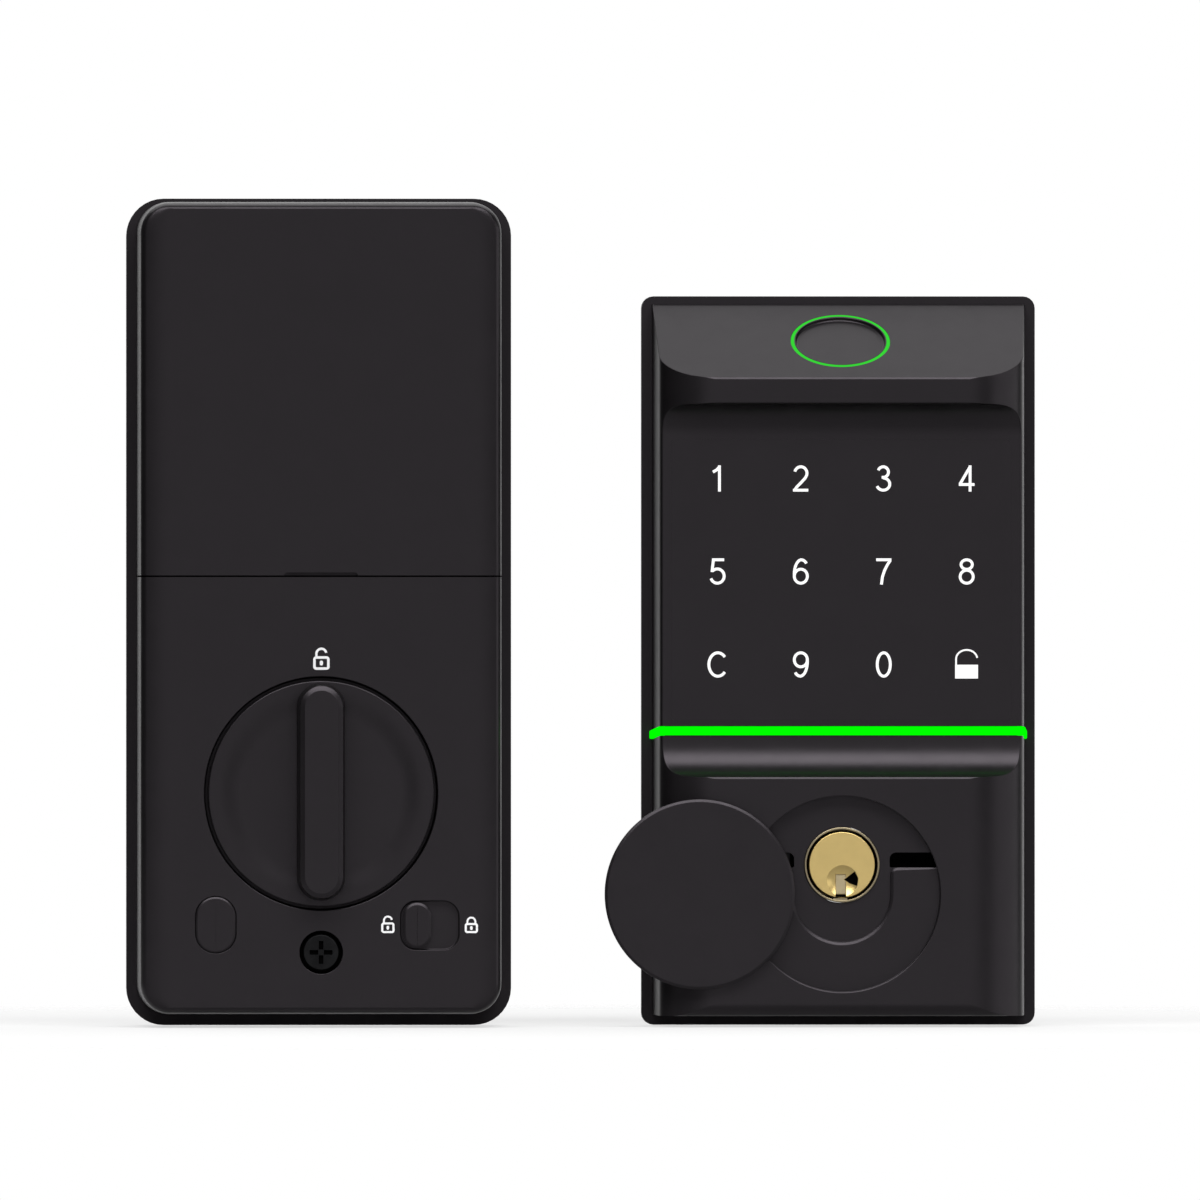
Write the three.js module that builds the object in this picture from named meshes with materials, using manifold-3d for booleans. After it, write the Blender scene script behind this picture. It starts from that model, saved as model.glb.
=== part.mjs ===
// Keypad smart lock: the exterior unit (keypad, fingerprint ledge, key cylinder) and the interior unit
// (thumb-turn, batteries, motor), side by side with their backs in one plane, as on a display board.
// Millimetres. X to the right, Z up, and Y into the door, so what faces the user looks along -Y.
// "Depth" d is measured forward from the door face: y = -d.
// The origin is where the key cylinder's axis crosses the door face.

import * as THREE from 'three';
import { mergeVertices } from 'three/addons/utils/BufferGeometryUtils.js';
import Module from 'manifold-3d';

const wasm = await Module();
wasm.setup();

// ---------------------------------------------------------------- driving dimensions

const GAP = 0.3;               // running gap between neighbouring pieces
const OVER = 0.5;              // how far a cutting tool runs past the face it opens
const WELD = 0.2;              // how far two solids of one piece run into each other
const UNIT_SPACING = 96.7;     // interior centreline to exterior centreline

const ext = {                  // exterior unit, z from its bottom edge, x from its centreline
  rimWidth: 73.2, rimHeight: 135.5, rimRadius: 2.2,
  gasketThick: 1.5, gasketBand: 3.2,
  plateThick: 2.7,
  border: 1.9,                 // rim left showing round the shell
  frontDepth: 27, wall: 2.4,
  sideDraft: 1.5,              // how much each side leans in before its round edge
  edgeRadius: 9.5,             // vertical edges, seen from above
  bottomFillet: 2,
  ledgeRise: 13.4, ledgeBackDepth: 4.9,
  bandHeight: 4.8,             // between the keypad's recess and the ledge
  recessDepth: 5, recessTopFillet: 5.8,
  scoopBottom: 46.2, scoopHeight: 7,
};
const panel = { width: 63.2, bottom: 56.6, belowRecessTop: 6.6, radius: 1, thick: 1.2, lip: 1.6, gap: 0.15 };
const board = { thick: 1.6, width: 58, bottomInset: 1.4, topInset: 2.8 };
const cableSocket = { width: 12, height: 6, length: 5, rise: 12, wall: 0.8, cavity: 3.5 };
const bar = { height: 1.9, z: 54.6, proud: 0.45, depth: 1.45, tilt: 2.6 };
const sensor = { rise: 6.9, ringRadius: 9.2, ringWidth: 0.6, ringHeight: 1.8, sunk: 0.45, moduleRadius: 7.2,
  moduleLength: 6, windowThick: 1.2, flangeThick: 1 };
const cylinder = { z: 29.9, ringRadius: 7.05, plugRadius: 6.1, boreGap: 0.4, frontSunk: 2.2, plugSunk: 0.15,
  bibleWidth: 8.4, bibleTop: 15, bibleLength: 14, keySlotWidth: 2.3, keySlotTop: 0.9, keySlotBottom: 5.2,
  keySlotLength: 17, journalRadius: 4.4, capRadius: 7, capThick: 1.2 };
const tailpiece = { width: 2.4, height: 7, reach: 48, inPlug: 1.6 };
const keyRecess = { z: 24.5, radius: 18.2, depth: 1.9, floorDepth: 2.7, archRadius: 9.05, archZ: 24.1,
  slotLow: 29.4, slotHigh: 32.2, slotInner: 8.85, slotOuter: 17.6, padThick: 3, padMargin: 1.6 };
const cover = { radius: 17.6, thick: 1.9, chamfer: 0.5, pivotX: -13.25, pivotRise: 6.35,
  postRadius: 1.2, postLength: 15, postInDisc: 0.9, postFit: 0.1, springRadius: 2.2, clipRadius: 2.5,
  clipThick: 0.8, clipGroove: 0.4, clipMouth: 1.6, clipFromEnd: 1, play: 0.2 };
const bracket = { width: 7.4, height: 6.4, thick: 3 };
const post = { spacing: 38.1, radius: 3.1, length: 30, bore: 2.1, boreLength: 18 };
const boss = { clear: 1.25, wall: 2, length: 8 };          // centring ring round the posts, in the door's bore
const caseScrew = { shank: 1.4, head: 2.6, headThick: 1.4, length: 12, bossRadius: 3.3, insetX: 8.4,
  low: 9, belowTop: 22.5 };
const crossRecess = { depth: 0.35, arm: 0.62, halfWidth: 0.14 };   // shares of the head's size
const screwSides = { head: 14, shank: 10 };
const cylinderScrew = { shank: 1.2, head: 2.2, headThick: 1.1, length: 7, spread: 5.6, rise: 3.6, lug: 2.4,
  threadEnd: 1 };
const grommet = { width: 14, height: 9, z: 66, wall: 1.6, flange: 0.9, flangeWidth: 1.2, radius: 1.8 };

const int = {                  // interior unit, same conventions
  rimWidth: 71.5, rimHeight: 153.6, rimRadius: 6.9, rimDepth: 7, rimWall: 3,
  floorBack: 2.1, floorThick: 2,
  sideBorder: 1.8, topBorder: 0.6, bottomBorder: 2,
  frontDepth: 33, wall: 1.8, draft: 1.1, edgeRadius: 3.8,
  coverHeight: 69.6,           // from the battery cover's lower edge to its top
};
const notch = { width: 13.6, height: 0.55, depth: 1.6 };
const mountPlate = { sideInset: 4.75, endInset: 5.8, radius: 4, thick: 1.8, spindleHole: 8 };
const knob = { z: 43.2, discRadius: 20.6, grooveWidth: 1.1, discThick: 4.6, cupFloor: 2, cupWall: 1.8,
  rest: 0.4, barWidth: 8.5, barLength: 39.8, barProud: 6.5, shaftRadius: 6.5, shaftBack: 4.5,
  boreRadius: 4.9, boreFront: 20, dish: 0.5, dishFloor: 14.6, dishRim: 19.4, edge: 0.4,
  gripCrown: [[0.42, -1.2], [0.77, -0.35], [1.6, 0]] };   // grip's top edge: [lean-in, height from the top]
const socket = { slotWidth: 2.9, slotHeight: 7.6 };
const gears = { module: 1, gearTeeth: 33, pinionTeeth: 11, addendum: 0.75, dedendum: 1.1, backlash: 0.16,
  back: 8, thick: 4, pinionOver: 0.3, pinionAngle: 60, pressure: 20, pinionShaft: 1.5, shaftInCase: 3 };
const circlip = { width: 2, thick: 0.9, above: 0.3, mouth: 4 };
const motor = { caseLeft: 1, caseRight: 21, aboveKnob: 11, belowSeam: 1.4, caseBack: 13, caseFront: 25,
  canRadius: 6.8, canLength: 23, canDrop: 8, canDepth: 19, pillarRadius: 1.7, pillarDrop: 4,
  pillarInset: 2 };
const button = { x: -19.5, z: 18.9, width: 7.3, height: 10.3, gap: 0.3, flange: 0.9, flangeThick: 1.4,
  back: 29.1, travel: 1 };
const slider = { x: 20.1, z: 18.8, width: 10.9, height: 9.1, pocket: 1.3, knobWidth: 5.2, knobHeight: 8.4,
  travel: 4.6, stemWidth: 2, stemHeight: 3, padThick: 1.3, padMargin: 1.5, padRadius: 4, stemBack: 27.7 };
const control = { left: -24.4, right: 24.6, low: 6.6, high: 25.4, front: 23.6, thick: 1.6 };
const tact = { side: 6, height: 3.5, plungerRadius: 1.7, plunger: 0.8 };
const slideSwitch = { width: 8.6, height: 4, thick: 3.8 };
const frontScrew = { z: 13.8, head: 3.45, headThick: 1.8, sunk: 0.7, counterbore: 4.2, shank: 2, bore: 2.4,
  tube: 5.4, crossArm: 2.1, crossWidth: 0.85, crossDepth: 1.1, end: 0.6 };
const plateScrew = { shank: 2, head: 4, headThick: 2, reach: 20, clear: 1 };
const shellScrew = { x: 26.6, belowSeam: 6.4, boss: 3, shank: 1.4, head: 2.5, headThick: 1.3, length: 10 };
const cell = { radius: 7.25, length: 50.5, nubRadius: 2.75, nub: 1.2, pitch: 14.8, depth: 22 };
const tray = { aboveSeam: 2.4, wall: 1.1, floorBack: 13, floorThick: 1.4, front: 24, cellEnd: 2.1, count: 4 };
const contact = { thick: 0.5, width: 9, bump: 1.3, bumpRadius: 2.6, tipRadius: 1.6 };
const mainBoard = { thick: 1.6, edge: 0.5,
  // each chip's left edge, lower edge, width, height and thickness
  chips: [[-16, 12, 12, 9, 2.2], [8, 10, 16, 12, 3], [-8, 34, 9, 9, 1.6]] };
const cablePort = { x: -12, z: 66, width: 12, height: 8, radius: 2 };

// ---------------------------------------------------------------- sizes worked out from them

const plateFront = ext.gasketThick + ext.plateThick;            // shell stands on this depth
const shell = { low: ext.border, high: ext.rimHeight - ext.border, half: ext.rimWidth / 2 - ext.border };
const keypadDepth = ext.frontDepth - ext.recessDepth;
const ledgeBottom = shell.high - ext.ledgeRise;
const recessTop = ledgeBottom - ext.bandHeight;
const panelTop = recessTop - panel.belowRecessTop;
const boardLow = panel.bottom + board.bottomInset;
const boardHigh = panelTop - board.topInset;
const ledgeRun = ext.frontDepth - ext.ledgeBackDepth;
const ledgeSlope = ext.ledgeRise / ledgeRun;                        // rise of the ledge per mm back
const ledgeLean = Math.atan2(ledgeRun, ext.ledgeRise);          // its normal's tilt up from straight ahead
const sensorDepth = ext.frontDepth - sensor.rise / ledgeSlope;
const recessFloor = ext.frontDepth - keyRecess.floorDepth;
const cylinderFront = ext.frontDepth - cylinder.frontSunk;
const plugFront = cylinderFront - cylinder.plugSunk;
const plugBack = plateFront;
const tailFront = plugBack + tailpiece.inPlug;
const cylinderScrewZ = cylinder.z + cylinder.capRadius + cylinderScrew.rise;
const pivot = { x: cover.pivotX, z: keyRecess.z + cover.pivotRise };
const coverBack = ext.frontDepth + GAP;
const postBack = coverBack - cover.postLength;
const clipBack = postBack + cover.clipFromEnd;
const springBack = clipBack + cover.clipThick + cover.play;
const bracketFront = recessFloor - keyRecess.padThick;
const bracketBack = bracketFront - bracket.thick;
const boardFront = keypadDepth - ext.wall - GAP;
const pinionReach = gears.module * (gears.gearTeeth + gears.pinionTeeth) / 2;
const pinionAngle = THREE.MathUtils.degToRad(gears.pinionAngle);
const pinion = { x: pinionReach * Math.cos(pinionAngle), z: knob.z + pinionReach * Math.sin(pinionAngle) };
const cup = { radius: knob.discRadius + knob.grooveWidth,
  floor: int.frontDepth - knob.discThick - knob.rest };
const floorFront = int.floorBack + int.floorThick;
const pocketMargin = (slider.height - slider.knobHeight) / 2;         // slider pocket round its knob
const trayInner = cell.pitch * (tray.count - 1) / 2 + cell.radius + GAP;
const seam = int.rimHeight - int.topBorder - int.coverHeight;
const trayLow = seam + tray.aboveSeam;
const trayLowInner = trayLow + tray.wall;
const shellScrewZ = seam - shellScrew.belowSeam;
const motorHigh = seam - motor.belowSeam;
const trayHighInner = trayLowInner + cell.length + 2 * tray.cellEnd;

// ---------------------------------------------------------------- outlines (lists of Vector2)

const point = (x, y) => new THREE.Vector2(x, y);

function arc(cx, cy, rx, ry, from, to, steps) {
  const points = [];
  for (let i = 0; i <= steps; i++) {
    const angle = from + (to - from) * i / steps;
    points.push(point(cx + rx * Math.cos(angle), cy + ry * Math.sin(angle)));
  }
  return points;
}

const circle = (x, y, r, steps = 32) => arc(x, y, r, r, 0, 2 * Math.PI * (1 - 1 / steps), steps - 1);

function roundRect(x, y, width, height, radius, steps = 5) {
  const dx = width / 2 - radius;
  const dy = height / 2 - radius;
  const quarter = Math.PI / 2;
  return [[1, 1], [-1, 1], [-1, -1], [1, -1]].flatMap(([sx, sy], i) =>
    arc(x + sx * dx, y + sy * dy, radius, radius, i * quarter, (i + 1) * quarter, steps));
}

const stadium = (x, y, width, height, steps = 5) =>
  roundRect(x, y, width, height, Math.min(width, height) / 2 - 0.01, steps);

// ---------------------------------------------------------------- geometry in the unit's own axes

const BASIS = {
  front: [[1, 0, 0], [0, 0, 1], [0, -1, 0]],     // outline in x, z; extruded forward
  side: [[0, -1, 0], [0, 0, 1], [-1, 0, 0]],     // outline in depth, z; extruded across
  plan: [[1, 0, 0], [0, -1, 0], [0, 0, -1]],     // outline in x, depth; extruded downward
};

function extruded(outline, length, basis, offset, holes = []) {
  const shape = new THREE.Shape(outline);
  shape.holes = holes.map(hole => new THREE.Path(hole));
  const geometry = new THREE.ExtrudeGeometry(shape, { depth: length, bevelEnabled: false });
  geometry.translate(0, 0, offset);
  const axes = BASIS[basis].map(v => new THREE.Vector3(...v));
  return geometry.applyMatrix4(new THREE.Matrix4().makeBasis(...axes));
}

const frontSlab = (outline, back, front, holes) => extruded(outline, front - back, 'front', back, holes);
const sideSlab = (outline, halfWidth) => extruded(outline, 2 * halfWidth, 'side', -halfWidth);
const planSlab = (outline, low, high) => extruded(outline, high - low, 'plan', -high);

function box(left, right, back, front, low, high) {
  const geometry = new THREE.BoxGeometry(right - left, front - back, high - low);
  return geometry.translate((left + right) / 2, -(back + front) / 2, (low + high) / 2);
}

const rod = (x, z, radius, back, front, steps = 24) => frontSlab(circle(x, z, radius, steps), back, front);
const tube = (x, z, outer, inner, back, front, steps = 32) =>
  frontSlab(circle(x, z, outer, steps), back, front, [circle(x, z, inner, steps)]);

// Skin through rings of equal point count, each ring an outline at its own depth, closed at both ends.
function loft(rings) {
  const count = rings[0].outline.length;
  const positions = [];
  const index = [];
  for (const { outline, depth } of rings) {
    for (const p of outline) positions.push(p.x, -depth, p.y);
  }
  for (let r = 0; r < rings.length - 1; r++) {
    for (let i = 0; i < count; i++) {
      const a = r * count + i;
      const b = r * count + (i + 1) % count;
      index.push(a, b, b + count, a, b + count, a + count);
    }
  }
  const capOf = ring => THREE.ShapeUtils.triangulateShape(rings[ring].outline, []);
  const last = (rings.length - 1) * count;
  for (const [a, b, c] of capOf(0)) index.push(c, b, a);
  for (const [a, b, c] of capOf(rings.length - 1)) index.push(last + a, last + b, last + c);
  const geometry = new THREE.BufferGeometry();
  geometry.setAttribute('position', new THREE.Float32BufferAttribute(positions, 3));
  geometry.setIndex(index);
  return geometry;
}

// ---------------------------------------------------------------- solids and booleans

function solid(geometry) {
  const bare = geometry.clone();
  bare.deleteAttribute('normal');
  bare.deleteAttribute('uv');
  const merged = mergeVertices(bare, 1e-4);
  return new wasm.Manifold(new wasm.Mesh({
    numProp: 3,
    vertProperties: new Float32Array(merged.attributes.position.array),
    triVerts: new Uint32Array(merged.index.array),
  }));
}

const asSolid = shape => (shape.isBufferGeometry ? solid(shape) : shape);
const join = (first, ...others) => others.reduce((sum, other) => sum.add(asSolid(other)), asSolid(first));
const cut = (first, ...tools) => tools.reduce((rest, tool) => rest.subtract(asSolid(tool)), asSolid(first));
const common = (first, second) => asSolid(first).intersect(asSolid(second));

// ---------------------------------------------------------------- materials and placing

const finish = (color, roughness, metalness = 0) => ({ color, roughness, metalness });
const MATTE_BLACK = finish(0x2c2a2c, 0.5);
const RIM_BLACK = finish(0x1e1c1e, 0.6);
const RUBBER = finish(0x151515, 0.9);
const STEEL = finish(0x9a9c9e, 0.35, 1);
const BRASS = finish(0xcbb374, 0.3, 1);
const CIRCUIT = finish(0x1d5a38, 0.55);
const GREEN_LIGHT = finish(0x00ff00, 0.4);
const DARK_PLASTIC = finish(0x38383a, 0.6);
const CELL_JACKET = finish(0x6f7a86, 0.4);

const group = new THREE.Group();
const exterior = new THREE.Group();
const interior = new THREE.Group();
exterior.position.z = -cylinder.z;
interior.position.set(-UNIT_SPACING, 0, -cylinder.z);
group.add(exterior, interior);

function place(parent, name, look, shape) {
  const mesh = asSolid(shape).getMesh();
  const geometry = new THREE.BufferGeometry();
  geometry.setAttribute('position', new THREE.BufferAttribute(new Float32Array(mesh.vertProperties), 3));
  geometry.setIndex(new THREE.BufferAttribute(new Uint32Array(mesh.triVerts), 1));
  geometry.computeVertexNormals();
  const part = new THREE.Mesh(geometry, new THREE.MeshStandardMaterial(look));
  part.name = name;
  parent.add(part);
}

// ================================================================ exterior unit

// Half of the body seen from above, mirrored: drafted sides and large round edges.
function bodyPlan(inset, frontDepth) {
  const half = shell.half - inset;
  const radius = Math.max(ext.edgeRadius - inset, 1);
  const shoulder = half - ext.sideDraft;
  const right = [point(half, plateFront), ...arc(shoulder - radius, frontDepth - radius, radius, radius, 0,
    Math.PI / 2, 7)];
  const left = right.map(p => point(-p.x, p.y)).reverse();
  return [...right, ...left];
}

const ledgeHeight = depth => ledgeBottom + (ext.frontDepth - depth) * ledgeSlope;

// The body seen from the side: lower front, scoop, keypad recess, top band, sloping ledge.
function bodyProfile() {
  const front = ext.frontDepth;
  const fillet = ext.bottomFillet;
  const quarter = Math.PI / 2;
  const scoopTop = ext.scoopBottom + ext.scoopHeight;
  const recessTopStart = recessTop - ext.recessTopFillet;
  return [
    point(plateFront, shell.low),
    ...arc(front - fillet, shell.low + fillet, fillet, fillet, -quarter, 0, 3),
    ...arc(front, scoopTop, ext.recessDepth, ext.scoopHeight, -quarter, -2 * quarter, 5),
    ...arc(front, recessTopStart, ext.recessDepth, ext.recessTopFillet, 2 * quarter, quarter, 5),
    point(front, ledgeBottom),
    point(ext.ledgeBackDepth, shell.high),
    point(plateFront, shell.high),
  ];
}

// The hollow inside it, one wall thickness in, with plain steps behind the recess.
function cavityProfile() {
  const drop = ext.wall * Math.hypot(1, ledgeSlope);
  const lowerFront = ext.frontDepth - ext.wall;
  const upperFront = keypadDepth - ext.wall;
  const step = ext.scoopBottom - ext.wall;
  return [
    point(plateFront - OVER, shell.low + ext.wall),
    point(lowerFront, shell.low + ext.wall),
    point(lowerFront, step),
    point(upperFront, step),
    point(upperFront, ledgeHeight(upperFront) - drop),
    point(plateFront - OVER, ledgeHeight(plateFront - OVER) - drop),
  ];
}

function bodySolid() {
  const outer = common(planSlab(bodyPlan(0, ext.frontDepth), shell.low, shell.high),
    sideSlab(bodyProfile(), ext.rimWidth / 2));
  const plan = bodyPlan(ext.wall, ext.frontDepth - ext.wall);
  plan[0].y = plateFront - OVER;
  plan[plan.length - 1].y = plateFront - OVER;
  const inner = common(planSlab(plan, shell.low, shell.high), sideSlab(cavityProfile(), ext.rimWidth / 2));
  return { outer, hollow: cut(outer, inner) };
}

// The U-shaped strip that wraps the body below the keypad, grown by `grow` on every side.
function barSolid(grow) {
  const half = bar.height / 2 + grow;
  const tip = geometry => geometry.translate(0, keypadDepth, 0)
    .rotateX(-THREE.MathUtils.degToRad(bar.tilt))
    .translate(0, -keypadDepth, bar.z);
  const back = plateFront + GAP - grow;
  const face = (inset, depth, tall) => common(
    tip(planSlab(bodyPlan(inset, ext.frontDepth), -tall, tall)),
    tip(box(-ext.rimWidth, ext.rimWidth, 0, depth, -tall, tall)));
  const outside = face(-bar.proud - grow, keypadDepth + bar.proud + grow, half);
  const inside = face(bar.depth - bar.proud + grow, keypadDepth - bar.depth + bar.proud - grow, half + 1);
  const behind = box(-ext.rimWidth, ext.rimWidth, 0, back, 0, ext.rimHeight);
  return cut(outside, inside, behind);
}

const onLedge = geometry => geometry.rotateX(-ledgeLean)
  .translate(0, -sensorDepth, ledgeBottom + sensor.rise);
const ledgeRod = (radius, below, above, steps = 32) => onLedge(rod(0, 0, radius, below, above, steps));

const caseCorners = [caseScrew.low, ext.rimHeight - caseScrew.belowTop].flatMap(z =>
  [-1, 1].map(side => ({ x: side * (shell.half - caseScrew.insetX), z })));
const atCorners = (radius, back, front, steps) =>
  caseCorners.map(({ x, z }) => rod(x, z, radius, back, front, steps));

function frontShell() {
  const { outer, hollow } = bodySolid();
  const pad = rod(0, keyRecess.z, keyRecess.radius + keyRecess.padMargin, recessFloor - keyRecess.padThick,
    ext.frontDepth - ext.wall, 40);
  const bosses = atCorners(caseScrew.bossRadius, plateFront, ext.frontDepth, 14)
    .map(one => common(one, outer));
  const filled = join(hollow, common(pad, outer), ...bosses);
  const front = ext.frontDepth + OVER;
  const recess = rod(0, keyRecess.z, keyRecess.radius, ext.frontDepth - keyRecess.depth, front, 48);
  const arch = [point(keyRecess.archRadius, keyRecess.slotHigh),
    point(-keyRecess.archRadius, keyRecess.slotHigh),
    ...arc(0, keyRecess.archZ, keyRecess.archRadius, keyRecess.archRadius, Math.PI, 2 * Math.PI, 14)];
  const upper = common(rod(0, keyRecess.z, keyRecess.radius, recessFloor, front, 48),
    box(-keyRecess.radius, keyRecess.radius, recessFloor, front, keyRecess.slotHigh, ext.scoopBottom));
  const slots = [-1, 1].map(side => {
    const ends = [side * keyRecess.slotInner, side * keyRecess.slotOuter].sort((a, b) => a - b);
    return box(...ends, plateFront, front, keyRecess.slotLow, keyRecess.slotHigh);
  });
  const window = frontSlab(roundRect(0, (panel.bottom + panelTop) / 2, panel.width - 2 * panel.lip,
    panelTop - panel.bottom - 2 * panel.lip, panel.radius), plateFront, keypadDepth + OVER);
  return cut(filled, recess, upper, frontSlab(arch, recessFloor, front), ...slots,
    rod(0, cylinder.z, cylinder.ringRadius + GAP, plateFront, front, 36),
    frontSlab(panelOutline(panel.gap), keypadDepth - panel.thick, keypadDepth + OVER), window,
    barSolid(GAP), ledgeRod(sensor.ringRadius + GAP, -4 * ext.wall, OVER),
    ...atCorners(caseScrew.shank + GAP, plateFront - OVER, ext.gasketThick + caseScrew.length + GAP, 12));
}

const panelOutline = grow => roundRect(0, (panel.bottom + panelTop) / 2, panel.width + 2 * grow,
  panelTop - panel.bottom + 2 * grow, panel.radius + grow);

function basePlate() {
  const plate = frontSlab(roundRect(0, ext.rimHeight / 2, ext.rimWidth, ext.rimHeight, ext.rimRadius),
    ext.gasketThick, plateFront);
  const bossBore = post.spacing / 2 + post.radius + boss.clear;
  const ring = tube(0, cylinder.z, bossBore + boss.wall, bossBore, -boss.length, ext.gasketThick + WELD, 40);
  const screwHoles = [...atCorners(caseScrew.shank + GAP, 0, plateFront + OVER, 12),
    ...atCorners(caseScrew.head + GAP, 0, ext.gasketThick + caseScrew.headThick, 16)];
  const cylinderHoles = [-1, 1].map(side =>
    rod(side * cylinderScrew.spread, cylinderScrewZ, cylinderScrew.shank + GAP, 0, plateFront + OVER, 16));
  return cut(join(plate, ring), rod(0, cylinder.z, cylinder.capRadius + GAP, 0, plateFront + OVER, 40),
    frontSlab(grommetOutline(GAP), 0, plateFront + OVER), ...screwHoles, ...cylinderHoles);
}

function gasket() {
  const inner = roundRect(0, ext.rimHeight / 2, ext.rimWidth - 2 * ext.gasketBand,
    ext.rimHeight - 2 * ext.gasketBand, ext.rimRadius);
  return frontSlab(roundRect(0, ext.rimHeight / 2, ext.rimWidth, ext.rimHeight, ext.rimRadius), 0,
    ext.gasketThick, [inner]);
}

function cylinderHousing() {
  const back = plateFront;
  const round = rod(0, cylinder.z, cylinder.ringRadius, back, cylinderFront, 48);
  const bible = box(-cylinder.bibleWidth / 2, cylinder.bibleWidth / 2, back, back + cylinder.bibleLength,
    cylinder.z, cylinder.z + cylinder.bibleTop);
  const lugEnd = cylinderScrew.spread + cylinderScrew.lug;
  const foot = box(-lugEnd, lugEnd, back, back + cylinderScrew.length, cylinderScrewZ - cylinderScrew.lug,
    cylinderScrewZ + cylinderScrew.lug);
  const threads = [-1, 1].map(side => rod(side * cylinderScrew.spread, cylinderScrewZ,
    cylinderScrew.shank + GAP, back - OVER, back + cylinderScrew.length - cylinderScrew.threadEnd, 16));
  return cut(join(round, bible, foot),
    rod(0, cylinder.z, cylinder.plugRadius + cylinder.boreGap, back - OVER, cylinderFront + OVER, 48),
    ...threads);
}

function cylinderPlug() {
  const body = rod(0, cylinder.z, cylinder.plugRadius, plugBack, plugFront, 48);
  const journal = rod(0, cylinder.z, cylinder.journalRadius, plugBack - cylinder.capThick - GAP,
    plugBack + WELD, 32);
  const keyway = box(-cylinder.keySlotWidth / 2, cylinder.keySlotWidth / 2,
    plugFront - cylinder.keySlotLength, plugFront + OVER,
    cylinder.z - cylinder.keySlotBottom, cylinder.z + cylinder.keySlotTop);
  const tailSlot = tailBlade(GAP, plugBack - cylinder.capThick - OVER, tailFront + GAP);
  return cut(join(body, journal), keyway, tailSlot);
}

const tailBlade = (grow, back, front) => box(-tailpiece.width / 2 - grow, tailpiece.width / 2 + grow,
  back, front, cylinder.z - tailpiece.height / 2 - grow, cylinder.z + tailpiece.height / 2 + grow);

function plugCap() {
  return tube(0, cylinder.z, cylinder.capRadius, cylinder.journalRadius + GAP,
    plugBack - cylinder.capThick - GAP, plugBack - GAP, 40);
}

function mountingPost(side) {
  const x = side * post.spacing / 2;
  const back = ext.gasketThick - post.length;
  return cut(rod(x, cylinder.z, post.radius, back, ext.gasketThick, 24),
    rod(x, cylinder.z, post.bore, back - OVER, back + post.boreLength, 20));
}

function screw(x, z, { shank, head, headThick }, headBack, headFront, tip) {
  const towardsTip = tip > headFront ? [headBack, tip] : [tip, headFront];
  const slot = crossRecess.depth * headThick;
  const openFace = tip > headFront ? [headBack - OVER, headBack + slot]
    : [headFront - slot, headFront + OVER];
  const arm = crossRecess.arm * head;
  const width = crossRecess.halfWidth * head;
  return cut(join(rod(x, z, head, headBack, headFront, screwSides.head),
    rod(x, z, shank, ...towardsTip, screwSides.shank)),
    box(x - arm, x + arm, ...openFace, z - width, z + width),
    box(x - width, x + width, ...openFace, z - arm, z + arm));
}

function coverDisc() {
  const centre = { x: 2 * pivot.x, z: keyRecess.z };
  const ring = (radius, depth) => ({ outline: circle(centre.x, centre.z, radius, 56), depth });
  const front = coverBack + cover.thick;
  const disc = loft([ring(cover.radius, coverBack), ring(cover.radius, front - cover.chamfer),
    ring(cover.radius - cover.chamfer, front)]);
  return cut(disc, rod(pivot.x, pivot.z, cover.postRadius + cover.postFit, coverBack - OVER,
    coverBack + cover.postInDisc + cover.postFit, 20));
}

function coverPost() {
  const groove = tube(pivot.x, pivot.z, cover.postRadius + OVER, cover.postRadius - cover.clipGroove,
    clipBack - cover.postFit, clipBack + cover.clipThick + cover.postFit, 20);
  return cut(rod(pivot.x, pivot.z, cover.postRadius, postBack, coverBack + cover.postInDisc, 20), groove);
}

function coverSpring() {
  return tube(pivot.x, pivot.z, cover.springRadius, cover.postRadius + GAP, springBack,
    bracketBack - cover.play, 20);
}

function coverClip() {
  const half = cover.clipMouth / 2;
  const opening = box(pivot.x - half, pivot.x + half, clipBack - OVER, clipBack + cover.clipThick + OVER,
    pivot.z - cover.clipRadius - OVER, pivot.z);
  return cut(tube(pivot.x, pivot.z, cover.clipRadius, cover.postRadius - cover.clipGroove / 2, clipBack,
    clipBack + cover.clipThick, 24), opening);
}

function coverBracket() {
  return cut(box(pivot.x - bracket.width / 2, pivot.x + bracket.width / 2, bracketBack, bracketFront,
    pivot.z - bracket.height / 2, pivot.z + bracket.height / 2),
  rod(pivot.x, pivot.z, cover.postRadius + cover.play, bracketBack - OVER, bracketFront + OVER, 20));
}

const grommetOutline = grow => roundRect(0, grommet.z, grommet.width + 2 * grow, grommet.height + 2 * grow,
  Math.max(grommet.radius + grow, 0.2));

function grommetSolid() {
  const flangeBack = ext.gasketThick - grommet.flange;
  return cut(join(frontSlab(grommetOutline(0), flangeBack, plateFront),
    frontSlab(grommetOutline(grommet.flangeWidth), flangeBack, ext.gasketThick)),
  frontSlab(grommetOutline(-grommet.wall), flangeBack - OVER, plateFront + OVER));
}

function fingerprintParts() {
  const ringBottom = -sensor.ringHeight;
  const ringInner = sensor.ringRadius - sensor.ringWidth;
  const windowTop = -sensor.sunk;
  const shelf = ringBottom - GAP;
  const ring = cut(ledgeRod(sensor.ringRadius, ringBottom, 0.1),
    ledgeRod(ringInner, ringBottom - OVER, OVER));
  const window = ledgeRod(ringInner - GAP, windowTop - sensor.windowThick, windowTop);
  const module = join(ledgeRod(sensor.ringRadius, shelf - sensor.flangeThick, shelf),
    ledgeRod(sensor.moduleRadius, shelf - sensor.flangeThick - sensor.moduleLength, shelf - 0.5, 32));
  place(exterior, 'fingerprint_light_ring', GREEN_LIGHT, ring);
  place(exterior, 'fingerprint_window', MATTE_BLACK, window);
  place(exterior, 'fingerprint_module', DARK_PLASTIC, module);
}

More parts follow.
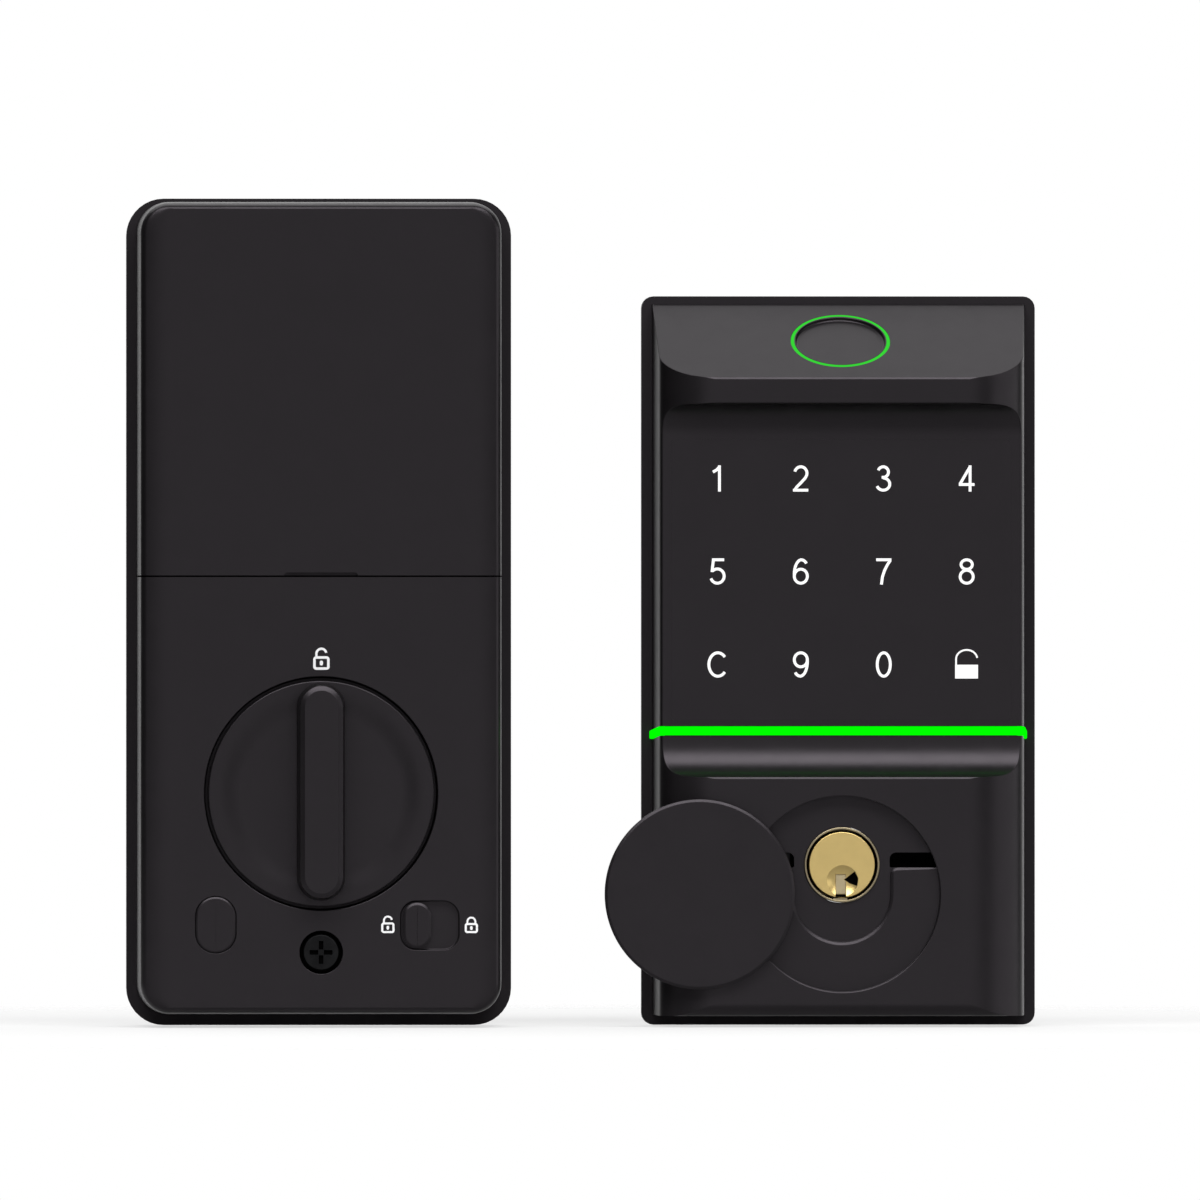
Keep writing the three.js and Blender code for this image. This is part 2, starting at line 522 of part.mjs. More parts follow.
const socketBox = (inset, back, front) => box(inset - cableSocket.width / 2, cableSocket.width / 2 - inset,
  back, front, boardLow + cableSocket.rise + inset,
  boardLow + cableSocket.rise + cableSocket.height - inset);

function keypadParts() {
  place(exterior, 'touch_panel', MATTE_BLACK,
    frontSlab(panelOutline(0), keypadDepth - panel.thick, keypadDepth));
  place(exterior, 'keypad_board', CIRCUIT,
    box(-board.width / 2, board.width / 2, boardFront - board.thick, boardFront, boardLow, boardHigh));
  const back = boardFront - board.thick;
  const mouth = back - cableSocket.length;
  place(exterior, 'keypad_cable_socket', finish(0xe6e0d2, 0.6),
    cut(socketBox(0, mouth, back), socketBox(cableSocket.wall, mouth - OVER, mouth + cableSocket.cavity)));
  place(exterior, 'light_bar', GREEN_LIGHT, barSolid(0));
}

function cylinderParts() {
  place(exterior, 'cylinder_housing', BRASS, cylinderHousing());
  place(exterior, 'cylinder_plug', BRASS, cylinderPlug());
  place(exterior, 'plug_cap', BRASS, plugCap());
  place(exterior, 'tailpiece', STEEL, tailBlade(0, -tailpiece.reach, tailFront));
  [-1, 1].forEach((side, i) => {
    place(exterior, `cylinder_screw_${i + 1}`, STEEL, screw(side * cylinderScrew.spread, cylinderScrewZ,
      cylinderScrew, ext.gasketThick - cylinderScrew.headThick, ext.gasketThick,
      ext.gasketThick + cylinderScrew.length));
    place(exterior, `mounting_post_${i + 1}`, STEEL, mountingPost(side));
  });
}

function coverParts() {
  place(exterior, 'keyhole_cover', MATTE_BLACK, coverDisc());
  place(exterior, 'cover_post', STEEL, coverPost());
  place(exterior, 'cover_spring', STEEL, coverSpring());
  place(exterior, 'cover_clip', STEEL, coverClip());
  place(exterior, 'cover_bracket', DARK_PLASTIC, coverBracket());
}

function exteriorCase() {
  place(exterior, 'exterior_gasket', RUBBER, gasket());
  place(exterior, 'exterior_base_plate', RIM_BLACK, basePlate());
  place(exterior, 'exterior_shell', MATTE_BLACK, frontShell());
  place(exterior, 'cable_grommet', RUBBER, grommetSolid());
  caseCorners.forEach(({ x, z }, i) => place(exterior, `exterior_case_screw_${i + 1}`, STEEL,
    screw(x, z, caseScrew, ext.gasketThick, ext.gasketThick + caseScrew.headThick,
      ext.gasketThick + caseScrew.length)));
}

// ================================================================ interior unit

const intShell = {
  width: int.rimWidth - 2 * int.sideBorder,
  low: int.bottomBorder,
  high: int.rimHeight - int.topBorder,
};

// Rounded block that leans in and ends in a round edge; `inset` shrinks it all round and in front.
function caseBlock(inset, back) {
  const centre = (intShell.low + intShell.high) / 2;
  const height = intShell.high - intShell.low;
  const front = int.frontDepth - inset;
  const ring = (shrink, depth) => {
    const radius = Math.max(int.rimRadius - int.sideBorder / 2 - shrink, 0.8);
    const outline = roundRect(0, centre, intShell.width - 2 * shrink, height - 2 * shrink, radius, 5);
    return { depth, outline };
  };
  const edge = Math.max(int.edgeRadius - inset, 1);
  const shoulder = front - edge;
  const rings = [ring(inset, back), ring(inset + int.draft, shoulder)];
  const steps = 4;
  for (let i = 1; i <= steps; i++) {
    const angle = i / steps * Math.PI / 2;
    rings.push(ring(inset + int.draft + edge * (1 - Math.cos(angle)), shoulder + edge * Math.sin(angle)));
  }
  return loft(rings);
}

function shellHalf(low, high, back) {
  const walls = cut(caseBlock(0, back), caseBlock(int.wall, back - OVER));
  return common(walls, box(-int.rimWidth, int.rimWidth, 0, int.frontDepth + OVER, low, high));
}

function batteryCover() {
  const low = seam + GAP / 2;
  return cut(shellHalf(low, int.rimHeight, int.rimDepth + GAP),
    box(-notch.width / 2, notch.width / 2, int.frontDepth - notch.depth, int.frontDepth + OVER, low - OVER,
      low + notch.height));
}

function lowerShell() {
  const front = int.frontDepth + OVER;
  const inner = int.frontDepth - int.wall;
  const shellBody = shellHalf(0, seam - GAP / 2, int.rimDepth);
  const cupBody = rod(0, knob.z, cup.radius + knob.cupWall, cup.floor - knob.cupFloor, inner + WELD, 36);
  const screwTube = rod(0, frontScrew.z, frontScrew.tube, int.rimDepth, inner + WELD, 32);
  const pad = frontSlab(roundRect(slider.x, slider.z, slider.width + 2 * slider.padMargin,
    slider.height + 2 * slider.padMargin, slider.padRadius), inner - slider.padThick, inner + WELD);
  const bosses = [-1, 1].map(side => rod(side * shellScrew.x, shellScrewZ, shellScrew.boss, int.rimDepth,
    inner + WELD, 20));
  const headSeat = int.frontDepth - frontScrew.sunk - frontScrew.headThick;
  const slotWidth = slider.travel + slider.stemWidth + 2 * GAP;
  const boreHoles = [-1, 1].map(side => rod(side * shellScrew.x, shellScrewZ, shellScrew.shank + GAP,
    int.rimDepth - OVER, floorFront + shellScrew.length + GAP, 16));
  return cut(join(shellBody, cupBody, screwTube, pad, ...bosses),
    rod(0, knob.z, cup.radius, cup.floor, front, 48),
    rod(0, knob.z, knob.shaftRadius + 0.4, int.rimDepth, front, 32),
    rod(0, frontScrew.z, frontScrew.counterbore, headSeat, front, 32),
    rod(0, frontScrew.z, frontScrew.bore, int.rimDepth - OVER, front, 24),
    frontSlab(stadium(button.x, button.z, button.width + 2 * button.gap, button.height + 2 * button.gap),
      inner - OVER, front),
    frontSlab(roundRect(slider.x, slider.z, slider.width, slider.height, slider.knobWidth / 2 + pocketMargin),
      int.frontDepth - slider.pocket, front),
    box(slider.x - slotWidth / 2, slider.x + slotWidth / 2, inner - slider.padThick - OVER, front,
      slider.z - slider.stemHeight / 2 - GAP, slider.z + slider.stemHeight / 2 + GAP),
    ...boreHoles);
}

function baseHousing() {
  const outline = grow => roundRect(0, int.rimHeight / 2, int.rimWidth + 2 * grow, int.rimHeight + 2 * grow,
    int.rimRadius + grow, 9);
  const block = frontSlab(outline(0), 0, int.rimDepth);
  const inside = outline(-int.rimWall);
  const bearing = tube(0, knob.z, knob.shaftRadius + 2.2, knob.shaftRadius + 0.4, floorFront - WELD,
    int.rimDepth, 32);
  const pillars = [motor.caseLeft + motor.pillarInset, motor.caseRight - motor.pillarInset].map(x =>
    rod(x, motorHigh - motor.pillarDrop, motor.pillarRadius, floorFront - WELD, motor.caseBack, 20));
  const headHoles = [-1, 1].map(side => rod(side * post.spacing / 2, knob.z,
    plateScrew.head + plateScrew.clear, -OVER, int.rimDepth, 18));
  const shellHoles = [-1, 1].map(side => rod(side * shellScrew.x, shellScrewZ, shellScrew.shank + GAP, -OVER,
    int.rimDepth, 16));
  const shell = cut(block,
    frontSlab(inside, -OVER, int.floorBack),
    frontSlab(inside, floorFront, int.rimDepth + OVER),
    rod(0, knob.z, knob.boreRadius + GAP, 0, int.rimDepth, 32),
    rod(0, frontScrew.z, frontScrew.bore, 0, int.rimDepth, 24),
    frontSlab(portOutline, -OVER, int.rimDepth),
    ...headHoles,
    ...shellHoles);
  return join(shell, bearing, ...pillars);
}

const portOutline = roundRect(cablePort.x, cablePort.z, cablePort.width, cablePort.height, cablePort.radius);

function mountingPlate() {
  const holes = [circle(0, knob.z, mountPlate.spindleHole, 32), circle(0, frontScrew.z, frontScrew.bore, 24),
    portOutline,
    ...[-1, 1].map(side => circle(side * post.spacing / 2, knob.z, plateScrew.shank + GAP, 20)),
    ...[-1, 1].map(side => circle(side * shellScrew.x, shellScrewZ, shellScrew.head + GAP, 20))];
  return frontSlab(roundRect(0, int.rimHeight / 2, int.rimWidth - 2 * mountPlate.sideInset,
    int.rimHeight - 2 * mountPlate.endInset, mountPlate.radius), 0, mountPlate.thick, holes);
}

// ---------------------------------------------------------------- thumb-turn and drive

function thumbTurn() {
  const back = cup.floor + knob.rest;
  const front = back + knob.discThick;
  const ring = (radius, depth) => ({ outline: circle(0, knob.z, radius, 48), depth });
  const disc = loft([ring(knob.discRadius, back), ring(knob.discRadius, front - knob.edge),
    ring(knob.discRadius - knob.edge, front)]);
  const dish = loft([ring(knob.dishFloor, front - knob.dish), ring(knob.dishRim, front + 0.1)]);
  const barRing = (shrink, depth) => ({ depth,
    outline: stadium(0, knob.z, knob.barWidth - 2 * shrink, knob.barLength - 2 * shrink, 6) });
  const top = front + knob.barProud;
  const grip = loft([barRing(0, back + WELD),
    ...knob.gripCrown.map(([shrink, up]) => barRing(shrink, top + up))]);
  const shaft = rod(0, knob.z, knob.shaftRadius, knob.shaftBack, back + WELD, 32);
  return cut(join(cut(disc, dish), grip, shaft),
    rod(0, knob.z, knob.boreRadius, knob.shaftBack - OVER, knob.boreFront, 32));
}

function spindleSocket() {
  return cut(rod(0, knob.z, knob.boreRadius - GAP, knob.shaftBack, knob.boreFront - GAP, 32),
    box(-socket.slotWidth / 2, socket.slotWidth / 2, knob.shaftBack - OVER, knob.boreFront,
      knob.z - socket.slotHeight / 2, knob.z + socket.slotHeight / 2));
}

// One gear outline: involute flanks between root and tip, first tooth centred on angle `phase`.
function gearOutline(cx, cz, teeth, phase) {
  const pitch = gears.module * teeth / 2;
  const pressure = THREE.MathUtils.degToRad(gears.pressure);
  const base = pitch * Math.cos(pressure);
  const tip = pitch + gears.addendum * gears.module;
  const root = pitch - gears.dedendum * gears.module;
  const involute = angle => Math.tan(angle) - angle;
  const halfAtPitch = Math.PI / (2 * teeth) - gears.backlash / (2 * pitch);
  const halfAt = radius => halfAtPitch + involute(pressure) - involute(Math.acos(Math.min(base / radius, 1)));
  const radii = [root, pitch, tip];
  const points = [];
  for (let tooth = 0; tooth < teeth; tooth++) {
    const centre = phase + tooth * 2 * Math.PI / teeth;
    const at = (radius, side) => point(cx + radius * Math.cos(centre + side * halfAt(radius)),
      cz + radius * Math.sin(centre + side * halfAt(radius)));
    for (const radius of radii) points.push(at(radius, -1));
    for (const radius of [...radii].reverse()) points.push(at(radius, 1));
  }
  return points;
}

function driveParts() {
  const front = gears.back + gears.thick;
  place(interior, 'spindle_gear', STEEL, cut(frontSlab(gearOutline(0, knob.z, gears.gearTeeth, pinionAngle),
    gears.back, front), rod(0, knob.z, knob.shaftRadius + GAP, gears.back - OVER, front + OVER, 32)));
  const phase = pinionAngle + Math.PI + Math.PI / gears.pinionTeeth;
  const teeth = frontSlab(gearOutline(pinion.x, pinion.z, gears.pinionTeeth, phase),
    gears.back - gears.pinionOver, front + gears.pinionOver);
  place(interior, 'motor_pinion', BRASS, join(teeth,
    rod(pinion.x, pinion.z, gears.pinionShaft, front, motor.caseBack + gears.shaftInCase, 16)));
  place(interior, 'gear_motor', STEEL, gearMotor());
  place(interior, 'thumb_turn', MATTE_BLACK, thumbTurn());
  place(interior, 'spindle_socket', STEEL, spindleSocket());
  const clipBackDepth = front + circlip.above;
  place(interior, 'spindle_circlip', STEEL, cut(tube(0, knob.z, knob.shaftRadius + GAP + circlip.width,
    knob.shaftRadius + GAP, clipBackDepth, clipBackDepth + circlip.thick, 32),
  box(-circlip.mouth / 2, circlip.mouth / 2, 0, int.frontDepth, knob.z - gears.module * gears.gearTeeth,
    knob.z)));
}

function gearMotor() {
  const gearbox = box(motor.caseLeft, motor.caseRight, motor.caseBack, motor.caseFront,
    knob.z + motor.aboveKnob, motorHigh);
  const can = new THREE.CylinderGeometry(motor.canRadius, motor.canRadius, motor.canLength, 28)
    .rotateZ(Math.PI / 2)
    .translate(motor.caseLeft + WELD - motor.canLength / 2, -motor.canDepth, motorHigh - motor.canDrop);
  return cut(join(gearbox, can), rod(pinion.x, pinion.z, gears.pinionShaft + GAP, motor.caseBack - OVER,
    motor.caseBack + gears.shaftInCase + GAP, 16));
}

// ---------------------------------------------------------------- controls and fasteners

function controlParts() {
  const back = control.front - control.thick;
  place(interior, 'control_board', CIRCUIT, cut(
    box(control.left, control.right, back, control.front, control.low, control.high),
    rod(0, frontScrew.z, frontScrew.tube + GAP, back - OVER, control.front + OVER, 32)));
  const tactTop = control.front + tact.height;
  place(interior, 'tact_switch', DARK_PLASTIC, join(box(button.x - tact.side / 2, button.x + tact.side / 2,
    control.front, tactTop, button.z - tact.side / 2, button.z + tact.side / 2),
  rod(button.x, button.z, tact.plungerRadius, tactTop - WELD, tactTop + tact.plunger, 20)));
  place(interior, 'slide_switch', STEEL, box(slider.x - slideSwitch.width / 2,
    slider.x + slideSwitch.width / 2, control.front, control.front + slideSwitch.thick,
    slider.z - slideSwitch.height / 2, slider.z + slideSwitch.height / 2));
  const flangeFront = int.frontDepth - int.wall - GAP;
  place(interior, 'pairing_button', MATTE_BLACK, join(
    frontSlab(stadium(button.x, button.z, button.width, button.height), button.back, int.frontDepth),
    frontSlab(stadium(button.x, button.z, button.width + 2 * button.flange,
      button.height + 2 * button.flange), flangeFront - button.flangeThick, flangeFront)));
  const knobX = slider.x - slider.travel / 2;
  const knobBack = int.frontDepth - slider.pocket + GAP;
  place(interior, 'privacy_knob', MATTE_BLACK, join(
    frontSlab(stadium(knobX, slider.z, slider.knobWidth, slider.knobHeight), knobBack, int.frontDepth),
    box(knobX - slider.stemWidth / 2, knobX + slider.stemWidth / 2, slider.stemBack, knobBack + WELD,
      slider.z - slider.stemHeight / 2, slider.z + slider.stemHeight / 2)));
}

function frontMountingScrew() {
  const top = int.frontDepth - frontScrew.sunk;
  const cross = (wide, tall) => box(-wide, wide, top - frontScrew.crossDepth, top + OVER,
    frontScrew.z - tall, frontScrew.z + tall);
  return cut(join(rod(0, frontScrew.z, frontScrew.head, top - frontScrew.headThick, top, 28),
    rod(0, frontScrew.z, frontScrew.shank, frontScrew.end, top - frontScrew.headThick + WELD, 20)),
  cross(frontScrew.crossArm, frontScrew.crossWidth / 2),
  cross(frontScrew.crossWidth / 2, frontScrew.crossArm));
}

function interiorFasteners() {
  place(interior, 'front_screw', STEEL, frontMountingScrew());
  [-1, 1].forEach((side, i) => {
    place(interior, `plate_screw_${i + 1}`, STEEL, screw(side * post.spacing / 2, knob.z, plateScrew,
      mountPlate.thick, mountPlate.thick + plateScrew.headThick, -plateScrew.reach));
    place(interior, `interior_case_screw_${i + 1}`, STEEL, screw(side * shellScrew.x, shellScrewZ,
      shellScrew, int.floorBack - shellScrew.headThick, int.floorBack, floorFront + shellScrew.length));
  });
}

// ---------------------------------------------------------------- batteries

const cellX = i => (i - (tray.count - 1) / 2) * cell.pitch;
const pointsUp = i => i % 2 === 0;

function batteryCell(i) {
  const low = trayLowInner + tray.cellEnd;
  const up = pointsUp(i);
  const jacket = cell.length - cell.nub;
  const upright = (radius, length, from) => new THREE.CylinderGeometry(radius, radius, length, 20)
    .rotateX(Math.PI / 2)
    .translate(cellX(i), -cell.depth, from + length / 2);
  const jacketLow = up ? low : low + cell.nub;
  const nubLow = up ? low + jacket - WELD : low;
  return join(upright(cell.radius, jacket, jacketLow), upright(cell.nubRadius, cell.nub + WELD, nubLow));
}

function batteryTray() {
  const outer = trayInner + tray.wall;
  const highOuter = trayHighInner + tray.wall;
  const block = box(-outer, outer, floorFront + GAP, tray.front, trayLow, highOuter);
  const bays = box(-trayInner, trayInner, tray.floorBack + tray.floorThick, tray.front + OVER, trayLowInner,
    trayHighInner);
  const behind = box(-trayInner, trayInner, 0, tray.floorBack, trayLowInner, trayHighInner);
  return cut(block, bays, behind);
}

// A strip across cells i..j at one end of the bays, with a bump under each cell's flat end.
function contactStrip(first, last, atTop) {
  const wall = atTop ? trayHighInner - contact.thick : trayLowInner;
  const half = contact.width / 2;
  const strip = box(cellX(first) - half, cellX(last) + half, cell.depth - half, cell.depth + half, wall,
    wall + contact.thick);
  const bumps = [];
  for (let i = first; i <= last; i++) {
    if (pointsUp(i) === atTop) continue;
    const away = atTop ? -1 : 1;
    const from = atTop ? wall : wall + contact.thick;
    bumps.push(new THREE.CylinderGeometry(contact.tipRadius, contact.bumpRadius, contact.bump + WELD, 20)
      .rotateX(away * Math.PI / 2)
      .translate(cellX(i), -cell.depth, from + away * (contact.bump - WELD) / 2));
  }
  return join(strip, ...bumps);
}

function batteryParts() {
  place(interior, 'battery_tray', DARK_PLASTIC, batteryTray());
  for (let i = 0; i < tray.count; i++) place(interior, `battery_cell_${i + 1}`, CELL_JACKET, batteryCell(i));
  place(interior, 'contact_terminal_plus', STEEL, contactStrip(0, 0, true));
  place(interior, 'contact_link_1', STEEL, contactStrip(0, 1, false));
  place(interior, 'contact_link_2', STEEL, contactStrip(1, 2, true));
  place(interior, 'contact_link_3', STEEL, contactStrip(2, 3, false));
  place(interior, 'contact_terminal_minus', STEEL, contactStrip(3, 3, true));
  const edge = trayInner - mainBoard.edge;
  const back = floorFront + GAP;
  const front = back + mainBoard.thick;
  const chips = mainBoard.chips.map(([x, z, width, height, thick]) =>
    box(x, x + width, front - WELD, front + thick, trayLowInner + z, trayLowInner + z + height));
  place(interior, 'main_board', CIRCUIT, join(box(-edge, edge, back, front, trayLowInner + mainBoard.edge,
    trayHighInner - mainBoard.edge), ...chips));
}

// ================================================================ assembly

exteriorCase();
keypadParts();
fingerprintParts();
cylinderParts();
coverParts();
place(interior, 'mounting_plate', STEEL, mountingPlate());
place(interior, 'interior_base', RIM_BLACK, baseHousing());
place(interior, 'lower_shell', MATTE_BLACK, lowerShell());
place(interior, 'battery_cover', MATTE_BLACK, batteryCover());
driveParts();
controlParts();
interiorFasteners();
batteryParts();

export default group;
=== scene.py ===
# Keypad smart lock: the looks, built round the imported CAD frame. Metres in Blender; the shapes below are
# drawn in millimetres from each unit's bottom edge (z) and centreline (x), with depth measured forward
# from the door face, and Unit.world() puts them in the frame.

from math import asin, atan2, cos, degrees, hypot, pi, radians, sin, sqrt, tan

import bmesh
import bpy
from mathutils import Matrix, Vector


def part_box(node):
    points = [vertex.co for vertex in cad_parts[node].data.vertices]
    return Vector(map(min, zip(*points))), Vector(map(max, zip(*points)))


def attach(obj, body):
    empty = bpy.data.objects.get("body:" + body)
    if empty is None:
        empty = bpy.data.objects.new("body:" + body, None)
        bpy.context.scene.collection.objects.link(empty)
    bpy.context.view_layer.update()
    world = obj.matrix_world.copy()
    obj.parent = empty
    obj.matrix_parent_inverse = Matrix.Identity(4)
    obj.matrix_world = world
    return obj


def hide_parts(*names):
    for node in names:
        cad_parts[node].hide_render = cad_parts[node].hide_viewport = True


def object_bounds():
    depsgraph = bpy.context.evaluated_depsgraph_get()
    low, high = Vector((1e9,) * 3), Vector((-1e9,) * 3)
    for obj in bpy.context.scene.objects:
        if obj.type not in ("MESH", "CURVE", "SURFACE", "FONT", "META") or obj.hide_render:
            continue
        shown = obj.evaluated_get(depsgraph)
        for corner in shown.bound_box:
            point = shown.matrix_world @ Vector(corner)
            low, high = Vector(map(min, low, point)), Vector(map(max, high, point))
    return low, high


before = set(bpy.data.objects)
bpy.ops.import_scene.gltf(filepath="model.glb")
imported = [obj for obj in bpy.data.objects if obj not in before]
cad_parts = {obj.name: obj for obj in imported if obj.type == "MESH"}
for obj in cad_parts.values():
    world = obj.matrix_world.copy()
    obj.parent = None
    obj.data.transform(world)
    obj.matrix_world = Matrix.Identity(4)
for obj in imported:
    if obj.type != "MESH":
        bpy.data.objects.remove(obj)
cad_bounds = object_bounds()

MM = 0.001
OVER = 0.5            # how far a cutting tool runs past what it opens
SEAM = 0.06           # hairline left between two fitted pieces
FLUSH_SEAM = 0.01     # the same where two pieces look like one
MITRE = 0.3           # limits how far a sharp corner moves when its outline is offset
WELD, SLIVER = 2e-7, 1e-7       # metres: nearer points become one, and shorter edges go
SHARP = radians(32)   # edges that turn by more than this stay sharp


class Unit:
    """One half of the lock, with its own millimetre axes: x, depth, z."""

    def __init__(self, rim_node):
        low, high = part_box(rim_node)
        self.x = (low.x + high.x) / 2
        self.z = low.z

    def world(self, x, depth, z):
        return Vector((self.x + x * MM, -depth * MM, self.z + z * MM))

    def span(self, node):
        """A node's extent here: left, right, back, front, low, high."""
        low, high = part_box(node)
        return ((low.x - self.x) / MM, (high.x - self.x) / MM, -high.y / MM, -low.y / MM,
                (low.z - self.z) / MM, (high.z - self.z) / MM)

    def middle(self, node):
        left, right, _, _, low, high = self.span(node)
        return (left + right) / 2, (low + high) / 2


exterior = Unit("exterior_base_plate")
interior = Unit("interior_base")


# ---- Outlines: lists of (x, z)

def shares(steps):
    """From 0 to 1 in equal steps."""
    return [i / steps for i in range(steps + 1)]


def arc(cx, cz, rx, rz, start, end, steps):
    """Points of an elliptical arc, from one angle to another, in degrees."""
    angles = [radians(start + (end - start) * share) for share in shares(steps)]
    return [(cx + rx * cos(a), cz + rz * sin(a)) for a in angles]


def circle(x, z, radius, steps):
    return arc(x, z, radius, radius, 0, 360 * (1 - 1 / steps), steps - 1)


def round_rect(x, z, width, height, wide, tall=None, steps=10):
    """A rectangle about (x, z) whose round corners are `wide` across and as high, or `tall` high."""
    tall = tall or wide
    points = []
    for i, (sx, sz) in enumerate([(1, 1), (-1, 1), (-1, -1), (1, -1)]):
        points += arc(x + sx * (width / 2 - wide), z + sz * (height / 2 - tall), wide, tall,
                      90 * i, 90 * (i + 1), steps)
    return points


def rect(left, right, low, high, radius, grow=0.0, steps=10):
    """A round-cornered rectangle between four sides, each moved out by `grow`."""
    return round_rect((left + right) / 2, (low + high) / 2, right - left + 2 * grow, high - low + 2 * grow,
                      radius, steps=steps)


def stadium(x, z, width, height, steps=16):
    return round_rect(x, z, width, height, min(width, height) / 2 - 0.001, steps=steps)


def spun(x, z, angle):
    """A point turned about the origin, from x towards z."""
    return x * cos(angle) - z * sin(angle), x * sin(angle) + z * cos(angle)


def rounded(points, radii, steps):
    """An open outline with each inner corner turned into an arc of its own radius."""
    out = [points[0]]
    for before, corner, after, radius in zip(points, points[1:], points[2:], radii):
        c = Vector(corner)
        to_a, to_b = (Vector(before) - c).normalized(), (Vector(after) - c).normalized()
        half = to_a.angle(to_b) / 2
        centre = c + (to_a + to_b).normalized() * radius / sin(half)
        start = c + to_a * radius / tan(half) - centre
        end = c + to_b * radius / tan(half) - centre
        turn = start.angle_signed(end)
        for share in shares(steps):
            x, z = spun(start.x, start.y, -turn * share)
            out.append((centre.x + x, centre.y + z))
    out.append(points[-1])
    return out


def offsets(outline, by, closed=True):
    """An outline moved sideways by `by`: outward when it runs anticlockwise."""
    count = len(outline)
    out = []
    for i, (x, z) in enumerate(outline):
        before = outline[i - 1] if closed or i else outline[i]
        after = outline[(i + 1) % count] if closed or i < count - 1 else outline[i]
        here = Vector((x, z))
        ways = [w.normalized() for w in (here - Vector(before), Vector(after) - here) if w.length > 1e-6]
        normals = [Vector((w.y, -w.x)) for w in ways]
        mean = sum(normals, Vector((0, 0))).normalized()
        shift = mean * by / max(mean.dot(normals[0]), MITRE)
        out.append((x + shift.x, z + shift.y))
    return out


# ---- Edges: steps of (how far in, how far up)

def quarter(radius, steps=6):
    """Round a quarter circle, from the side to the top."""
    turns = [radians(90 * share) for share in shares(steps)]
    return [(radius * (1 - cos(a)), radius * sin(a)) for a in turns]


def bevel(wide, deep, soft=None, steps=3):
    """Up a flat slope with softened corners, ending a little way across the top."""
    soft = soft or 0.3 * deep
    return rounded([(0, -2 * deep), (0, -deep), (wide, 0), (2 * wide, 0)], [soft, soft], steps)[1:]


# ---- Shapes: (points, faces)

def skin(rings, closed=False):
    """Quads between rings of equal length; `closed` joins the last to the first, else both are capped."""
    count = len(rings[0])
    points = [p for ring in rings for p in ring]
    faces = []
    for r in range(len(rings) if closed else len(rings) - 1):
        this, following = r * count, (r + 1) % len(rings) * count
        for i in range(count):
            j = (i + 1) % count
            faces.append((this + i, this + j, following + j, following + i))
    if not closed:
        faces.append(tuple(range(count)))
        faces.append(tuple(range(len(points) - count, len(points))))
    return points, faces


def stack(levels):
    """A solid through outlines, each at its own depth."""
    return skin([[(x, depth, z) for x, z in outline] for outline, depth in levels])


def prism(outline, back, front):
    return stack([(outline, back), (outline, front)])


def brick(left, right, back, front, low, high):
    return prism([(left, low), (right, low), (right, high), (left, high)], back, front)


def plate(outline, back, front, edge, back_edge=0.0):
    """A slab with a rounded front edge, and if asked a rounded back edge."""
    foot = quarter(back_edge)[::-1] if back_edge else [(0, 0)]
    levels = [(offsets(outline, -inward), back + back_edge - up) for inward, up in foot]
    levels += [(offsets(outline, -inward), front - edge + up) for inward, up in quarter(edge)]
    return stack(levels)


def bevelled(outline, back, front, wide, deep):
    """A slab whose front edge is a flat slope."""
    slope = [(offsets(outline, -inward), front + up) for inward, up in bevel(wide, deep)]
    return stack([(outline, back)] + slope)


def pocket(outline, floor, front, mouth, corner=0.0, deep=0.0):
    """A cutting tool that rounds a pocket's rim by `mouth`, and its floor's corner by `corner`.

    With `deep` the rim is a flat slope instead, `mouth` wide and that deep."""
    levels = [(outline, floor)]
    if corner:
        levels = [(offsets(outline, up - corner), floor + inward) for inward, up in quarter(corner)]
    if deep:
        levels += [(offsets(outline, out), front + up) for out, up in bevel(mouth, deep)[:-1]]
    else:
        levels += [(offsets(outline, inward), front - mouth + up) for inward, up in quarter(mouth)]
    levels.append((offsets(outline, mouth), front + OVER))
    return stack(levels)


def turned(x, z, profile, steps=96):
    """A solid of revolution about an axis along the depth; profile is (radius, depth) from end to end."""
    return stack([(circle(x, z, radius, steps), depth) for radius, depth in profile])


def turned_ring(x, z, profile, steps=96):
    """The same with a hole: the profile is a closed loop."""
    rings = [[(px, depth, pz) for px, pz in circle(x, z, radius, steps)] for radius, depth in profile]
    return skin(rings, closed=True)


def rod(x, z, radius, back, front, steps=96):
    return turned(x, z, [(radius, back), (radius, front)], steps)


def rim(radius, top, edge, steps, way=-1):
    """A turned profile's rounded edge, from its side to its top; `way` is 1 where the top is outside."""
    return [(radius + way * inward, top - edge + up) for inward, up in quarter(edge, steps)]


# ---- Blender objects

def new_object(name, data):
    made = bpy.data.objects.new(name, data)
    bpy.context.scene.collection.objects.link(made)
    return made


def solid(name, unit, shape):
    """A closed mesh object with its normals outward."""
    points, faces = shape
    mesh = bpy.data.meshes.new(name)
    mesh.from_pydata([unit.world(*p) for p in points], [], faces)
    work = bmesh.new()
    work.from_mesh(mesh)
    bmesh.ops.remove_doubles(work, verts=work.verts, dist=WELD)
    bmesh.ops.dissolve_degenerate(work, edges=work.edges, dist=SLIVER)
    bmesh.ops.recalc_face_normals(work, faces=work.faces)
    work.to_mesh(mesh)
    work.free()
    return new_object(name, mesh)


def combine(base, unit, *tools, operation="DIFFERENCE"):
    """Applies boolean tools, each a shape or an object, to base one after another, and removes them."""
    tools = [solid("tool", unit, tool) if isinstance(tool, tuple) else tool for tool in tools]
    for tool in tools:
        step = base.modifiers.new(tool.name, "BOOLEAN")
        step.operation = operation
        step.solver = "EXACT"
        step.object = tool
    depsgraph = bpy.context.evaluated_depsgraph_get()
    result = bpy.data.meshes.new_from_object(base.evaluated_get(depsgraph))
    base.modifiers.clear()
    spent = base.data
    base.data = result
    bpy.data.meshes.remove(spent)
    for tool in tools:
        bpy.data.objects.remove(tool)
    return base


